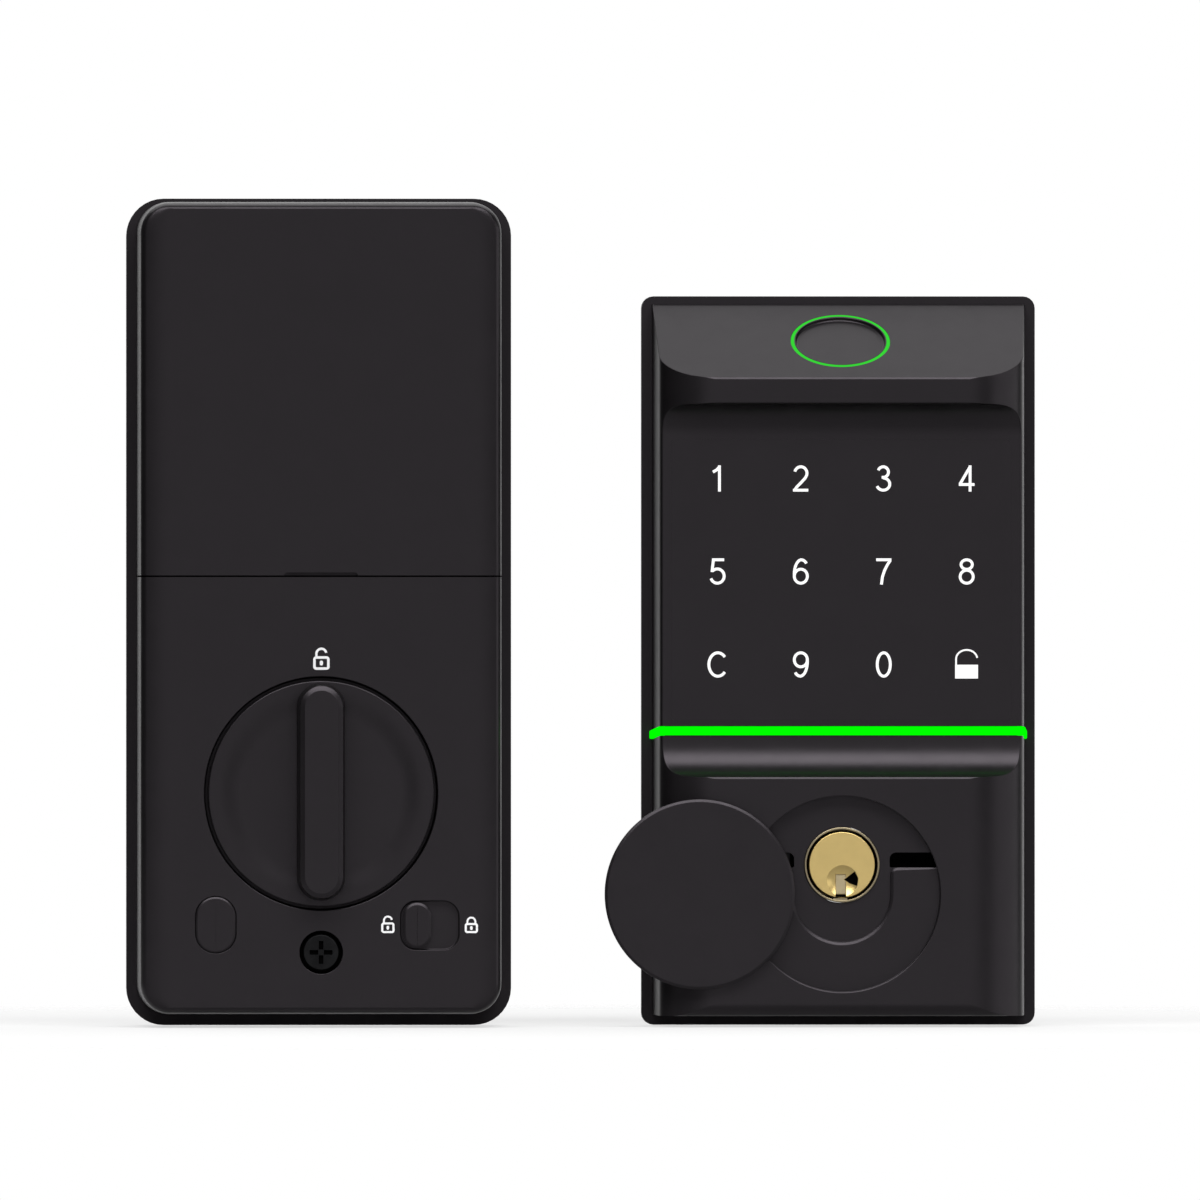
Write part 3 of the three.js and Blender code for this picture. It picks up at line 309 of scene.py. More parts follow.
def carved(name, unit, shape, *tools):
    return combine(solid(name, unit, shape), unit, *tools)


def joined(name, unit, shape, *others):
    return combine(solid(name, unit, shape), unit, *others, operation="UNION")


def paint(obj, material):
    obj.data.materials.clear()
    obj.data.materials.append(material)


def finish_piece(obj, material, body="root", replaced=()):
    """Smooths a piece, gives it its material, and puts it on its body in place of its CAD node."""
    obj.data.shade_smooth()
    obj.data.set_sharp_from_angle(angle=SHARP)
    weighted = obj.modifiers.new("even normals", "WEIGHTED_NORMAL")
    weighted.keep_sharp = True
    weighted.weight = 100
    paint(obj, material)
    for polygon in obj.data.polygons:
        polygon.material_index = 0
    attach(obj, body)
    if replaced:
        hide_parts(*replaced)


# ---- Materials

GLOSS_TINT = (1.0, 0.9, 1.0, 1.0)      # the plastics' and paints' gloss is faintly violet


def tinted(color, by):
    return tuple(min(1.0, c * by) for c in color)


class Nodes:
    """Short ways to fill a node tree. An input is given as a value or as the output that feeds it."""

    def __init__(self, tree):
        self.tree = tree

    def feed(self, node, inputs):
        for key, value in inputs.items():
            if isinstance(value, bpy.types.NodeSocket):
                self.tree.links.new(value, node.inputs[key])
            else:
                node.inputs[key].default_value = value

    def node(self, kind, inputs, **settings):
        made = self.tree.nodes.new("ShaderNode" + kind)
        for key, value in settings.items():
            setattr(made, key, value)
        self.feed(made, inputs)
        return made

    def out(self, kind, inputs, output=0, **settings):
        return self.node(kind, inputs, **settings).outputs[output]

    def larger(self, first, second):
        return self.out("Math", {0: first, 1: second}, operation="MAXIMUM")

    def ranged(self, value, low, high, from_low=0.3, from_high=0.7):
        return self.out("MapRange", {"Value": value, "From Min": from_low, "From Max": from_high,
                                     "To Min": low, "To Max": high})


class Surface(Nodes):
    """A principled material and what the materials share. Noise scales are in waves per metre."""

    def __init__(self, name, color, roughness, metallic=0.0, specular=0.5):
        self.material = bpy.data.materials.new(name)
        self.material.use_nodes = True
        super().__init__(self.material.node_tree)
        self.color = color
        self.roughness = roughness
        self.shader = self.tree.nodes["Principled BSDF"]
        self.place = self.out("TexCoord", {}, "Object")
        self.feed(self.shader, {"Base Color": (*color, 1), "Roughness": roughness, "Metallic": metallic,
                                "Specular IOR Level": specular})
        if not metallic:
            self.feed(self.shader, {"Specular Tint": GLOSS_TINT})

    def noise(self, scale, detail=4.0, roughness=0.6, stretch=(1, 1, 1)):
        mapped = self.out("Mapping", {"Scale": stretch, "Vector": self.place})
        return self.out("TexNoise", {"Scale": scale, "Detail": detail, "Roughness": roughness,
                                     "Vector": mapped}, "Fac")

    def colors(self, factor, first, second):
        mix = self.out("Mix", {0: factor, 6: (*first, 1), 7: (*second, 1)}, 2, data_type="RGBA")
        self.feed(self.shader, {"Base Color": mix})

    def mottle(self, texture, low, high):
        """Lets the colour vary between `low` and `high` times its own value."""
        self.colors(self.ranged(texture, 0, 1), tinted(self.color, low), tinted(self.color, high))

    def uneven_gloss(self, texture, by):
        varied = self.ranged(texture, self.roughness - by, self.roughness + by)
        self.feed(self.shader, {"Roughness": varied})

    def bump(self, texture, height, under=None):
        """Relief `height` millimetres high, over another one if `under` is given."""
        inputs = {"Height": texture, "Distance": height * MM}
        if under is not None:
            inputs["Normal"] = under
        return self.out("Bump", inputs)

    def relief(self, texture, height, under=None):
        self.feed(self.shader, {"Normal": self.bump(texture, height, under)})


def moulded_plastic(name, color, roughness, grain=0.0025, specular=0.36, mottle=0.08):
    """Matte moulded plastic: faintly cloudy, uneven in gloss, with a spark-eroded grain `grain` mm high."""
    made = Surface(name, color, roughness, specular=specular)
    made.mottle(made.noise(90, detail=3), 1 - mottle, 1 + mottle)
    made.uneven_gloss(made.noise(260, detail=5), 0.03)
    fine = made.bump(made.noise(4200, detail=2, roughness=0.5), grain)
    made.relief(made.noise(900, detail=3), 0.8 * grain, fine)
    return made.material


def painted_casting(name, color, roughness, specular):
    """Powder coat over a zinc casting: a soft orange peel."""
    made = Surface(name, color, roughness, specular=specular)
    made.mottle(made.noise(150), 0.88, 1.12)
    made.uneven_gloss(made.noise(500), 0.05)
    made.relief(made.noise(1300, detail=2, roughness=0.45), 0.006)
    return made.material


def machined_metal(name, color, roughness, axis=None, wear=0.1):
    """Bare metal with a turned lay about an axis (x, z in metres) or a drawn lay along z."""
    made = Surface(name, color, roughness, metallic=1.0)
    if axis:
        offset = made.out("VectorMath", {0: made.place, 1: (axis[0], 0, axis[1])}, operation="SUBTRACT")
        flat = made.out("VectorMath", {0: offset, 1: (1, 0, 1)}, operation="MULTIPLY")
        radius = made.out("VectorMath", {0: flat}, "Value", operation="LENGTH")
        lay = made.out("TexNoise", {"Scale": 9000, "Detail": 3, "W": radius}, "Fac", noise_dimensions="1D")
    else:
        lay = made.noise(700, detail=5, stretch=(8, 8, 0.4))
    made.mottle(made.noise(320), 1 - wear, 1 + wear / 2)
    made.uneven_gloss(lay, 0.07)
    made.relief(lay, 0.0012)
    return made.material


def lit_plastic(name, color, base):
    """A light guide with light behind it, a touch uneven along its length."""
    made = Surface(name, base, 0.5, specular=0.0)
    glow = made.ranged(made.noise(60, detail=1), 0.97, 1.03)
    made.feed(made.shader, {"Emission Color": (*color, 1), "Emission Strength": glow})
    made.relief(made.noise(1500, detail=2), 0.002)
    return made.material


def soft_rubber(name, color):
    made = Surface(name, color, 0.85, specular=0.25)
    made.mottle(made.noise(240), 0.8, 1.25)
    made.relief(made.noise(1800, detail=6), 0.02)
    return made.material


def circuit_board(name, mask, copper):
    """Solder mask over copper tracks."""
    made = Surface(name, mask, 0.36)
    upright = made.out("Mapping", {"Rotation": (radians(90), 0, 0), "Vector": made.place})
    tracks = made.out("TexBrick", {"Scale": 90, "Mortar Size": 0.035, "Vector": upright}, "Fac", offset=0.37)
    made.colors(tracks, mask, copper)
    made.relief(tracks, 0.03)
    made.uneven_gloss(made.noise(400), 0.06)
    return made.material


BLACK = (0.0062, 0.0056, 0.0062)
RIM_BLACK = tinted(BLACK, 0.6)
cylinder_x, cylinder_z = exterior.middle("cylinder_plug")
AXIS = (exterior.x + cylinder_x * MM, exterior.z + cylinder_z * MM)

case_plastic = moulded_plastic("case_plastic", BLACK, 0.35)
panel_film = moulded_plastic("panel_film", BLACK, 0.35)
rim_plastic = moulded_plastic("rim_plastic", RIM_BLACK, 0.5, specular=0.34)
rim_paint = painted_casting("rim_paint", RIM_BLACK, 0.5, 0.34)
cover_paint = painted_casting("cover_paint", BLACK, 0.36, 0.36)
sensor_glass = moulded_plastic("sensor_glass", BLACK, 0.34, grain=0.001)
dark_plastic = moulded_plastic("dark_plastic", (0.035, 0.035, 0.038), 0.5)
socket_plastic = moulded_plastic("socket_plastic", (0.7, 0.64, 0.5), 0.45, mottle=0.03)
white_print = moulded_plastic("white_print", (0.85, 0.85, 0.86), 0.5, grain=0.001, mottle=0.03)
# Near-black and almost without gloss: painted shade, for holes, slots and gaps that should look deep and
# unlit.
painted_shade_black = moulded_plastic("painted_shade_black", (0.001, 0.001, 0.001), 0.9, specular=0.03)
green_bar = lit_plastic("green_bar", (0, 1, 0), (0.0, 0.1, 0.0))
green_ring = lit_plastic("green_ring", (0.04, 0.64, 0.04), (0.0, 0.03, 0.0))
white_light = lit_plastic("white_light", (1, 1, 1), (0.1, 0.1, 0.1))
seal_rubber = soft_rubber("seal_rubber", (0.012, 0.012, 0.013))
turned_brass = machined_metal("turned_brass", (0.37, 0.31, 0.2), 0.34, axis=AXIS, wear=0.06)
plug_brass = machined_metal("plug_brass", (0.8, 0.6, 0.24), 0.36, axis=AXIS, wear=0.04)
keyway_brass = machined_metal("keyway_brass", (0.6, 0.5, 0.31), 0.4)
gear_brass = machined_metal("gear_brass", (0.68, 0.5, 0.2), 0.35)
zinc_steel = machined_metal("zinc_steel", (0.52, 0.52, 0.53), 0.36)
black_steel = machined_metal("black_steel", (0.018, 0.018, 0.019), 0.45, wear=0.3)
spring_steel = machined_metal("spring_steel", (0.6, 0.6, 0.6), 0.25)
nickel = machined_metal("nickel", (0.66, 0.62, 0.54), 0.3)
cell_jacket = machined_metal("cell_jacket", (0.12, 0.15, 0.2), 0.38)
board_green = circuit_board("board_green", (0.008, 0.075, 0.03), (0.02, 0.16, 0.06))


# ==== Exterior unit: the body

plate_front = exterior.span("exterior_base_plate")[3]
_, shell_right, _, shell_front, shell_low, shell_high = exterior.span("exterior_shell")
panel_left, panel_right, panel_back, keypad_depth, panel_low, panel_high = exterior.span("touch_panel")

SIDE_DRAFT = 0.9         # how much each side leans in before its round edge
EDGE_WIDTH, EDGE_DEPTH = 10.5, 7.0      # the oval that rounds the vertical edges, seen from above
SHELL_WALL = 2.4
CREASE = 0.45            # rounding where a front face meets the round edge
INNER_CREASE = 0.3       # the same inside the hollow
BOTTOM_FILLET = 2.4
SCOOP_LOW, SCOOP_HEIGHT = 46.2, 7.0
RECESS_TOP, RECESS_FILLET = 115.4, 5.8
RIM_CREASE = 0.35        # sharp-looking edge of the recess
LEDGE_OVER = 0.4         # how far the ledge's top runs over the base plate's rim
LEDGE_RISE, LEDGE_BACK = 13.8, 4.9
LIP, LIP_BACK = 0.36, 0.135      # narrow slope along the scoop's lower edge and the ledge's
LIP_SOFT = [0.06, 0.06]          # and the rounding of its two corners

recess_depth = shell_front - keypad_depth
ledge_top = shell_high + LEDGE_OVER
ledge_low = ledge_top - LEDGE_RISE
ledge_lean = atan2(shell_front - LEDGE_BACK, LEDGE_RISE)


def half_section(front, inset=0.0, crease=CREASE, back=None):
    """Right half of the body seen from above, from the back to the middle: (x, depth)."""
    back = plate_front if back is None else back
    half = shell_right - inset
    width, deep = EDGE_WIDTH - inset, EDGE_DEPTH - inset
    cx = half - SIDE_DRAFT - width
    cd = shell_front - inset - deep
    crease = min(crease, 0.6 * (front - back))
    side_steps, arc_steps = 18, 6
    level = min(front, shell_front - inset) - crease
    if level > cd:
        across, out = width - crease, deep - crease
        rise = min((level - cd) / out, 1)
        reach = across * sqrt(1 - rise ** 2)
        start = (cx + reach, level)
        turn = degrees(atan2(rise / out, reach / across ** 2))
        last = degrees(atan2(deep * sin(radians(turn)), width * cos(radians(turn))))
        side = [(half, back)] + arc(cx, cd, width, deep, 0, last, side_steps - 1)
    else:
        lean = SIDE_DRAFT / (cd - plate_front)
        at = lambda depth: half - lean * max(depth - plate_front, 0)
        depths = [back + (level - back) * share for share in shares(side_steps)]
        side = [(at(depth), depth) for depth in depths]
        start = (at(level) - crease, level)
        turn = 0
    return side + arc(*start, crease, crease, turn, 90, arc_steps)


def ring_at(z, front, **options):
    right = half_section(front, **options)
    left = [(-x, depth) for x, depth in reversed(right)]
    return [(x, depth, z) for x, depth in right + left]


def body_profile():
    """The body's front seen from the side, from the bottom up: (depth, z)."""
    front, fillet, r = shell_front, BOTTOM_FILLET, RIM_CREASE
    slip = lambda inward: degrees(asin(inward / recess_depth))
    points = arc(front - fillet, shell_low + fillet, fillet, fillet, -90, 0, 10)
    points += rounded([(front, SCOOP_LOW - 2 * LIP), (front, SCOOP_LOW - LIP), (front - LIP_BACK, SCOOP_LOW),
                       (front - 3 * LIP_BACK, SCOOP_LOW)], LIP_SOFT, 3)
    start = -90 - slip(3.5 * LIP_BACK)
    points += arc(front, SCOOP_LOW + SCOOP_HEIGHT, recess_depth, SCOOP_HEIGHT, start, -180, 18)
    points += arc(front, RECESS_TOP - RECESS_FILLET, recess_depth, RECESS_FILLET, 180, 90 + slip(r), 18)
    points += arc(front - r, RECESS_TOP + r, r, r, -90, 0, 6)[1:]
    lip_top = ledge_low + LIP_BACK * LEDGE_RISE / (front - LEDGE_BACK)
    ledge = rounded([(front, RECESS_TOP + 1), (front, lip_top - LIP), (front - LIP_BACK, lip_top),
                     (LEDGE_BACK, ledge_top)], LIP_SOFT, 3)
    depth, z = ledge[-2]
    slope = [(depth + (LEDGE_BACK - depth) * share, z + (ledge_top - z) * share) for share in shares(36)]
    return points + ledge[1:-2] + slope


def cavity_shape():
    """The hollow inside the body, with plain steps behind the recess."""
    slope = LEDGE_RISE / (shell_front - LEDGE_BACK)
    drop = SHELL_WALL * hypot(1, slope)
    lower, upper = shell_front - SHELL_WALL, keypad_depth - SHELL_WALL
    step = SCOOP_LOW - SHELL_WALL
    height_at = lambda depth: ledge_low + (shell_front - depth) * slope - drop
    back = plate_front - OVER
    levels = [(lower, shell_low + SHELL_WALL), (lower, step), (upper, step)]
    levels += [(depth, height_at(depth)) for depth in (upper, back + 1)]
    return skin([ring_at(z, depth, inset=SHELL_WALL, crease=INNER_CREASE, back=back) for depth, z in levels])


# ---- The keyhole's recess

KEY_Z, KEY_RADIUS, KEY_DEPTH, KEY_FLOOR = 24.5, 18.2, 1.9, 2.7      # the circle, and its deeper floor
ARCH_Z, ARCH_RADIUS, ARCH_CORNER = 24.55, 9.05, 1.3
SLOT_LOW, SLOT_HIGH, SLOT_INNER, SLOT_OUTER = 29.4, 32.2, 8.85, 17.6
SLOT_CORNER, SLOT_EDGE = 1.2, 0.3       # its upper inner corner is round, the others are crisp
ARCH_SLOPE, ARCH_SLOPE_DEEP, FLOOR_ROUND = 0.5, 0.19, 0.12          # the rims' slopes and the rounding
KEY_SLOPE, KEY_SLOPE_DEEP, KEY_ROUND = 0.16, 0.06, 0.15             # where the walls meet the floors
RING_RADIUS = 7.0
PAD_THICK, PAD_MARGIN = 3, 1.6          # the shell is thicker behind the recess
pad_back = shell_front - KEY_FLOOR - PAD_THICK


def deep_outline():
    """The deeper floor round the cylinder: the arch, opening at its top into the circle's upper part."""
    reach = degrees(asin((SLOT_LOW - KEY_Z) / KEY_RADIUS))
    top = arc(0, KEY_Z, KEY_RADIUS + 1, KEY_RADIUS + 1, reach, 180 - reach, 60)
    corner_x, corner_z = ARCH_RADIUS + ARCH_CORNER, SLOT_LOW - ARCH_CORNER
    left = arc(-corner_x, corner_z, ARCH_CORNER, ARCH_CORNER, 90, 0, 8)
    right = arc(corner_x, corner_z, ARCH_CORNER, ARCH_CORNER, 180, 90, 8)
    bottom = arc(0, ARCH_Z, ARCH_RADIUS, ARCH_RADIUS, 180, 360, 40)
    return top + left + bottom + right


def key_recess_tools():
    front, floor = shell_front, shell_front - KEY_DEPTH
    arch = pocket(deep_outline(), front - KEY_FLOOR, floor, ARCH_SLOPE, FLOOR_ROUND, ARCH_SLOPE_DEEP)
    deep = combine(solid("deep_floor", exterior, arch), exterior,
                   rod(0, KEY_Z, KEY_RADIUS, plate_front, front), operation="INTERSECT")
    start = ((SLOT_INNER + SLOT_OUTER) / 2, SLOT_LOW)
    box = [start, (SLOT_OUTER, SLOT_LOW), (SLOT_OUTER, SLOT_HIGH), (SLOT_INNER, SLOT_HIGH),
           (SLOT_INNER, SLOT_LOW), start]
    half = rounded(box, [SLOT_EDGE, SLOT_EDGE, SLOT_CORNER, SLOT_EDGE], 8)[:-1]
    slots = [prism([(side * x, z) for x, z in half][::side], plate_front, floor) for side in (-1, 1)]
    recess = pocket(circle(0, KEY_Z, KEY_RADIUS, 144), floor, front, KEY_SLOPE, KEY_ROUND, KEY_SLOPE_DEEP)
    return [deep, *slots, recess, rod(0, cylinder_z, RING_RADIUS + SEAM, plate_front, front)]


# ---- Light bar, sensor, panel

BAR_Z, BAR_HEIGHT, BAR_PROUD, BAR_THICK = 54.75, 1.6, 0.45, 1.45
BAR_TILT = radians(2.6)
BAR_END = 0.3            # how far its ends stop short of the base plate


def bar_shape(grow=0.0, edge=0.28):
    """The strip that wraps the body below the keypad, a little tilted, with rounded front edges."""
    half = BAR_HEIGHT / 2 + grow
    outward, inward = BAR_PROUD + grow, BAR_PROUD - BAR_THICK - grow
    upper = [(inward, half)] + arc(outward - edge, half - edge, edge, edge, 90, 0, 4)
    paths = []
    for out, up in upper + [(out, -up) for out, up in reversed(upper)]:
        path = []
        for x, depth, z in ring_at(up, keypad_depth + out, inset=-out, back=plate_front + BAR_END - grow):
            forward, rise = spun(depth - keypad_depth, z, BAR_TILT)
            path.append((x, keypad_depth + forward, BAR_Z + rise))
        paths.append(path)
    return skin(list(zip(*paths)))


SENSOR_RISE, SENSOR_RADIUS, SENSOR_RING, SENSOR_DEEP = 6.9, 9.2, 0.62, 1.8
RING_PROUD, RING_EDGE = 0.1, 0.2
CUP_WALL, CUP_FLOOR, CUP_CORNER = 0.3, -0.65, 0.45      # the window is a shallow cup for a fingertip


def on_ledge(x, height, along):
    """From the sensor's own axes (across, out of the ledge, up the ledge) to the unit's."""
    depth = shell_front - SENSOR_RISE * (shell_front - LEDGE_BACK) / LEDGE_RISE
    out, up = spun(height, along, ledge_lean)
    return x, depth + out, ledge_low + SENSOR_RISE + up


def ledge_turned(profile, make=turned):
    points, faces = make(0, 0, profile)
    return [on_ledge(*p) for p in points], faces


def panel_outline(grow=0.0):
    return rect(panel_left, panel_right, panel_low, panel_high, 1, grow)


SCREW_BOSS, SCREW_HOLE, SCREW_DEEP = 3.3, 1.6, 14
WINDOW_INSET = 1.6       # the panel rests on a ledge this wide


def build_shell():
    screws = [exterior.middle(f"exterior_case_screw_{i}") for i in (1, 2, 3, 4)]
    bosses = [rod(x, z, SCREW_BOSS, 0, shell_front, 32) for x, z in screws]
    bosses.append(rod(0, KEY_Z, KEY_RADIUS + PAD_MARGIN, pad_back, shell_front))
    cavity = carved("cavity", exterior, cavity_shape(), *bosses)
    body = carved("front_housing", exterior, skin([ring_at(z, depth) for depth, z in body_profile()]),
                  cavity,
                  prism(panel_outline(FLUSH_SEAM), panel_back - SEAM, shell_front),
                  prism(panel_outline(-WINDOW_INSET), plate_front, shell_front),
                  bar_shape(grow=0.1, edge=0.1),
                  ledge_turned([(SENSOR_RADIUS + SEAM, -9), (SENSOR_RADIUS + SEAM, OVER)]),
                  *[rod(x, z, SCREW_HOLE, 0, SCREW_DEEP, 24) for x, z in screws],
                  *key_recess_tools())
    finish_piece(body, case_plastic, replaced=["exterior_shell"])


def build_slot_shade():
    """A near-black plate behind the right-hand slot, painted shade that keeps the slot dark; the left one
    takes the cover's post.
    """
    outline = rect(SLOT_INNER, SLOT_OUTER, SLOT_LOW, SLOT_HIGH, 0.8, grow=0.6)
    front, thick, edge = pad_back - SEAM, 1.2, 0.2
    shade_plate = solid("slot_shade_plate", exterior, plate(outline, front - thick, front, edge, edge))
    finish_piece(shade_plate, painted_shade_black)


def build_light_bar():
    bar = solid("wraparound_light_bar", exterior, bar_shape())
    finish_piece(bar, green_bar, replaced=["light_bar"])


def build_sensor():
    outer, inner = SENSOR_RADIUS, SENSOR_RADIUS - SENSOR_RING
    profile = [(inner, -SENSOR_DEEP), (outer, -SENSOR_DEEP)]
    profile += rim(outer, RING_PROUD, RING_EDGE, 4) + rim(inner, RING_PROUD, RING_EDGE, 4, 1)[::-1]
    ring = solid("sensor_ring", exterior, ledge_turned(profile, turned_ring))
    finish_piece(ring, green_ring, replaced=["fingerprint_light_ring"])
    edge = inner - FLUSH_SEAM
    wall = edge - CUP_WALL
    cup = [(edge, -SENSOR_DEEP + 0.15), (edge, 0.05), (wall + 0.1, 0.05), (wall, -0.05)]
    cup += [(wall - inward, CUP_FLOOR + CUP_CORNER - up) for inward, up in quarter(CUP_CORNER)]
    cup += [(0.6 * wall, CUP_FLOOR), (0.2 * wall, CUP_FLOOR)]
    window = solid("sensor_window", exterior, ledge_turned(cup))
    finish_piece(window, sensor_glass, replaced=["fingerprint_window"])


def build_panel():
    panel = solid("keypad_glass", exterior, prism(panel_outline(), panel_back, keypad_depth))
    finish_piece(panel, panel_film, replaced=["touch_panel"])


# ---- Cylinder and keyhole cover

PLUG_RADIUS, PLUG_STEM, BORE_GAP = 6.1, 4.4, 0.48
DIMPLE_X, DIMPLE_Z, DIMPLE_RADIUS, DIMPLE_DEPTH = 0.1, -2.95, 2.95, 0.8
KEYWAY_LEFT, KEYWAY_RIGHT, KEYWAY_TOP, KEYWAY_FLOOR = -1.2, 0.8, -1.7, 1.1
CORE_BOTTOM, CORE_GAP = 5.45, 0.03      # the slot's own floor ends this far below the axis
CHAMBER_HALF, CHAMBER_LONG, CHAMBER_TOP = 4.2, 14, 15
LUG_HALF, LUG_LONG, LUG_LOW, LUG_TOP = 8, 7, 8.2, 13
TONGUE_LEFT, TONGUE_RIGHT, TONGUE_FOOT, TONGUE_SUNK = -1.6, 1.0, 6.8, 0.12      # below the keyway
COVER_EDGE, COVER_SIDE = 0.25, 0.9
COVER_SLOPE, COVER_SLOPE_DEEP, COVER_SOFT = 0.5, 0.2, 0.08
WEDGE = [(0.39, -2.75), (2.42, -1.19), (3.05, -2.57), (2.81, -3.87), (1.56, -3.5)]    # the keyway's mouth
WEDGE_DEEP, WEDGE_DARK = 14, 1.6        # how deep it is, and how far in the painted shade inside it starts


def build_cylinder():
    back, front = exterior.span("cylinder_housing")[2:4]
    bore = PLUG_RADIUS + BORE_GAP
    ring = [(bore, back), (RING_RADIUS, back)]
    ring += rim(RING_RADIUS, front, 0.16, 4) + rim(bore, front, 0.08, 3, 1)[::-1]
    pin_chamber = brick(-CHAMBER_HALF, CHAMBER_HALF, back, back + CHAMBER_LONG,
                        cylinder_z + bore + 0.2, cylinder_z + CHAMBER_TOP)
    lugs = brick(-LUG_HALF, LUG_HALF, back, back + LUG_LONG, cylinder_z + LUG_LOW, cylinder_z + LUG_TOP)
    tongue = brick(TONGUE_LEFT, TONGUE_RIGHT, back + 1, front - TONGUE_SUNK,
                   cylinder_z - TONGUE_FOOT, cylinder_z - PLUG_RADIUS - SEAM)
    sleeve = turned_ring(0, cylinder_z, ring, 144)
    housing = joined("cylinder_body", exterior, sleeve, pin_chamber, lugs, tongue)
    finish_piece(housing, turned_brass, replaced=["cylinder_housing"])


def build_plug():
    back, front = exterior.span("cylinder_plug")[2:4]
    profile = [(PLUG_STEM, back), (PLUG_STEM, plate_front), (PLUG_RADIUS, plate_front)]
    body = turned(0, cylinder_z, profile + rim(PLUG_RADIUS, front, 0.14, 4), 144)
    ball = (DIMPLE_RADIUS ** 2 + DIMPLE_DEPTH ** 2) / (2 * DIMPLE_DEPTH)
    centre = front - DIMPLE_DEPTH + ball
    turns = [asin(DIMPLE_RADIUS / ball) * (0.02 + 1.1 * share) for share in shares(14)]
    bowl = [(ball * sin(a), centre - ball * cos(a)) for a in turns]
    dimple = turned(DIMPLE_X, cylinder_z + DIMPLE_Z, bowl + [(bowl[-1][0], front + 1)], 72)
    floor, mouth, top = front - KEYWAY_FLOOR, front + OVER, cylinder_z + KEYWAY_TOP
    slot = brick(KEYWAY_LEFT, KEYWAY_RIGHT, floor, mouth, cylinder_z - 7, top)
    wedge = [(x, cylinder_z + z) for x, z in WEDGE]
    plug = carved("keyed_plug", exterior, body, dimple, slot, prism(wedge, front - WEDGE_DEEP, mouth))
    finish_piece(plug, plug_brass, body="key_cylinder", replaced=["cylinder_plug"])

    left, right, foot = KEYWAY_LEFT + CORE_GAP, KEYWAY_RIGHT - CORE_GAP, cylinder_z - CORE_BOTTOM
    floor += 0.001
    core = plate(rect(left, right, foot, top - CORE_GAP, 0.15, steps=3), floor, floor + 0.149, 0.08)
    around = wedge[::-1]
    keyway = carved("keyway_core", exterior, core, prism(offsets(around, 0.05), front - WEDGE_DEEP, mouth))
    finish_piece(keyway, keyway_brass, body="key_cylinder")
    # Two near-black blocks, painted shade: one deep in the keyway's wedge-shaped mouth, one under the foot
    # of its slot, so the hole looks dark.
    end = plate(rect(left, right, foot - 0.55, foot - 0.05, 0.05, steps=2), floor, front - 0.7, 0.04)
    depth = plate(around, front - WEDGE_DEEP + 1, front - WEDGE_DARK, 0.05)
    for name, shape in (("keyway_mouth_shade", depth), ("keyway_foot_shade", end)):
        finish_piece(solid(name, exterior, shape), painted_shade_black, body="key_cylinder")


def build_cover():
    left, right, back, front, low, high = exterior.span("keyhole_cover")
    radius = (right - left) / 2
    slope = [(0, -COVER_SIDE)] + bevel(COVER_SLOPE, COVER_SLOPE_DEEP, COVER_SOFT)
    profile = [(radius - inward, back + COVER_EDGE - up) for inward, up in reversed(quarter(COVER_EDGE, 4))]
    profile += [(radius - inward, front + up) for inward, up in slope]
    disc = solid("round_cover", exterior, turned((left + right) / 2, (low + high) / 2, profile, 180))
    finish_piece(disc, cover_paint, body="keyhole_cover", replaced=["keyhole_cover"])


# ==== Interior unit: the case

base_front = interior.span("interior_base")[3]
case_left, case_right, cover_back, _, seam_high, case_high = interior.span("battery_cover")
_, _, lower_back, case_front, case_low, seam_low = interior.span("lower_shell")
thumb_top = interior.span("thumb_turn")[3]
knob_x, knob_z = interior.middle("spindle_gear")
button_x, button_z = interior.middle("pairing_button")
screw_x, screw_z = interior.middle("front_screw")

CASE_CORNER, SHARPEST_CORNER, CASE_WALL = 6.0, 1.2, 1.8
SIDE_LEAN, SIDE_WIDE, SIDE_DEEP, SIDE_TURN = 0.55, 1.25, 2.2, 83     # the sides lean in, then turn fast
CROWN_WIDE, CROWN_SLOPE = 4.5, 0.2      # and meet the flat front in a slow crown
END_LEAN, END_EDGE = 0.5, 1.2           # the top and bottom turn fast
NOTCH_WIDTH, NOTCH_HEIGHT, NOTCH_DEEP = 13.6, 1.1, 1.6
KNOB_DISC, KNOB_GROOVE, DISC_THICK, DISC_GAP = 20.9, 0.7, 4.6, 0.4
GRIP_WIDTH, GRIP_LENGTH, GRIP_PROUD, GRIP_UP = 8.15, 39.5, 6.5, 0.3
BUTTON_WIDTH, BUTTON_HEIGHT, BUTTON_GAP = 7.3, 10.3, 0.16
SLIDER_X, SLIDER_Z, SLIDER_WIDTH, SLIDER_HEIGHT, SLIDER_DEEP = 20.1, 18.8, 10.9, 9.1, 1.3
KNOB_WIDTH, KNOB_HEIGHT = 5.2, 8.4
SCREW_HEAD, SCREW_BORE, SCREW_SEAT = 3.4, 4.0, 3.1
FRONT_BOSS, FRONT_HOLE, SHAFT_HOLE = 5.4, 2.4, 6.9
disc_front = thumb_top - GRIP_PROUD
inner_face = case_front - CASE_WALL


def case_outline(side, end):
    """The case's outline with its sides and its ends moved in by their own amounts."""
    return round_rect(0, (case_low + case_high) / 2, case_right - case_left - 2 * side,
                      case_high - case_low - 2 * end, max(CASE_CORNER - side, SHARPEST_CORNER),
                      max(CASE_CORNER - end, SHARPEST_CORNER), 14)


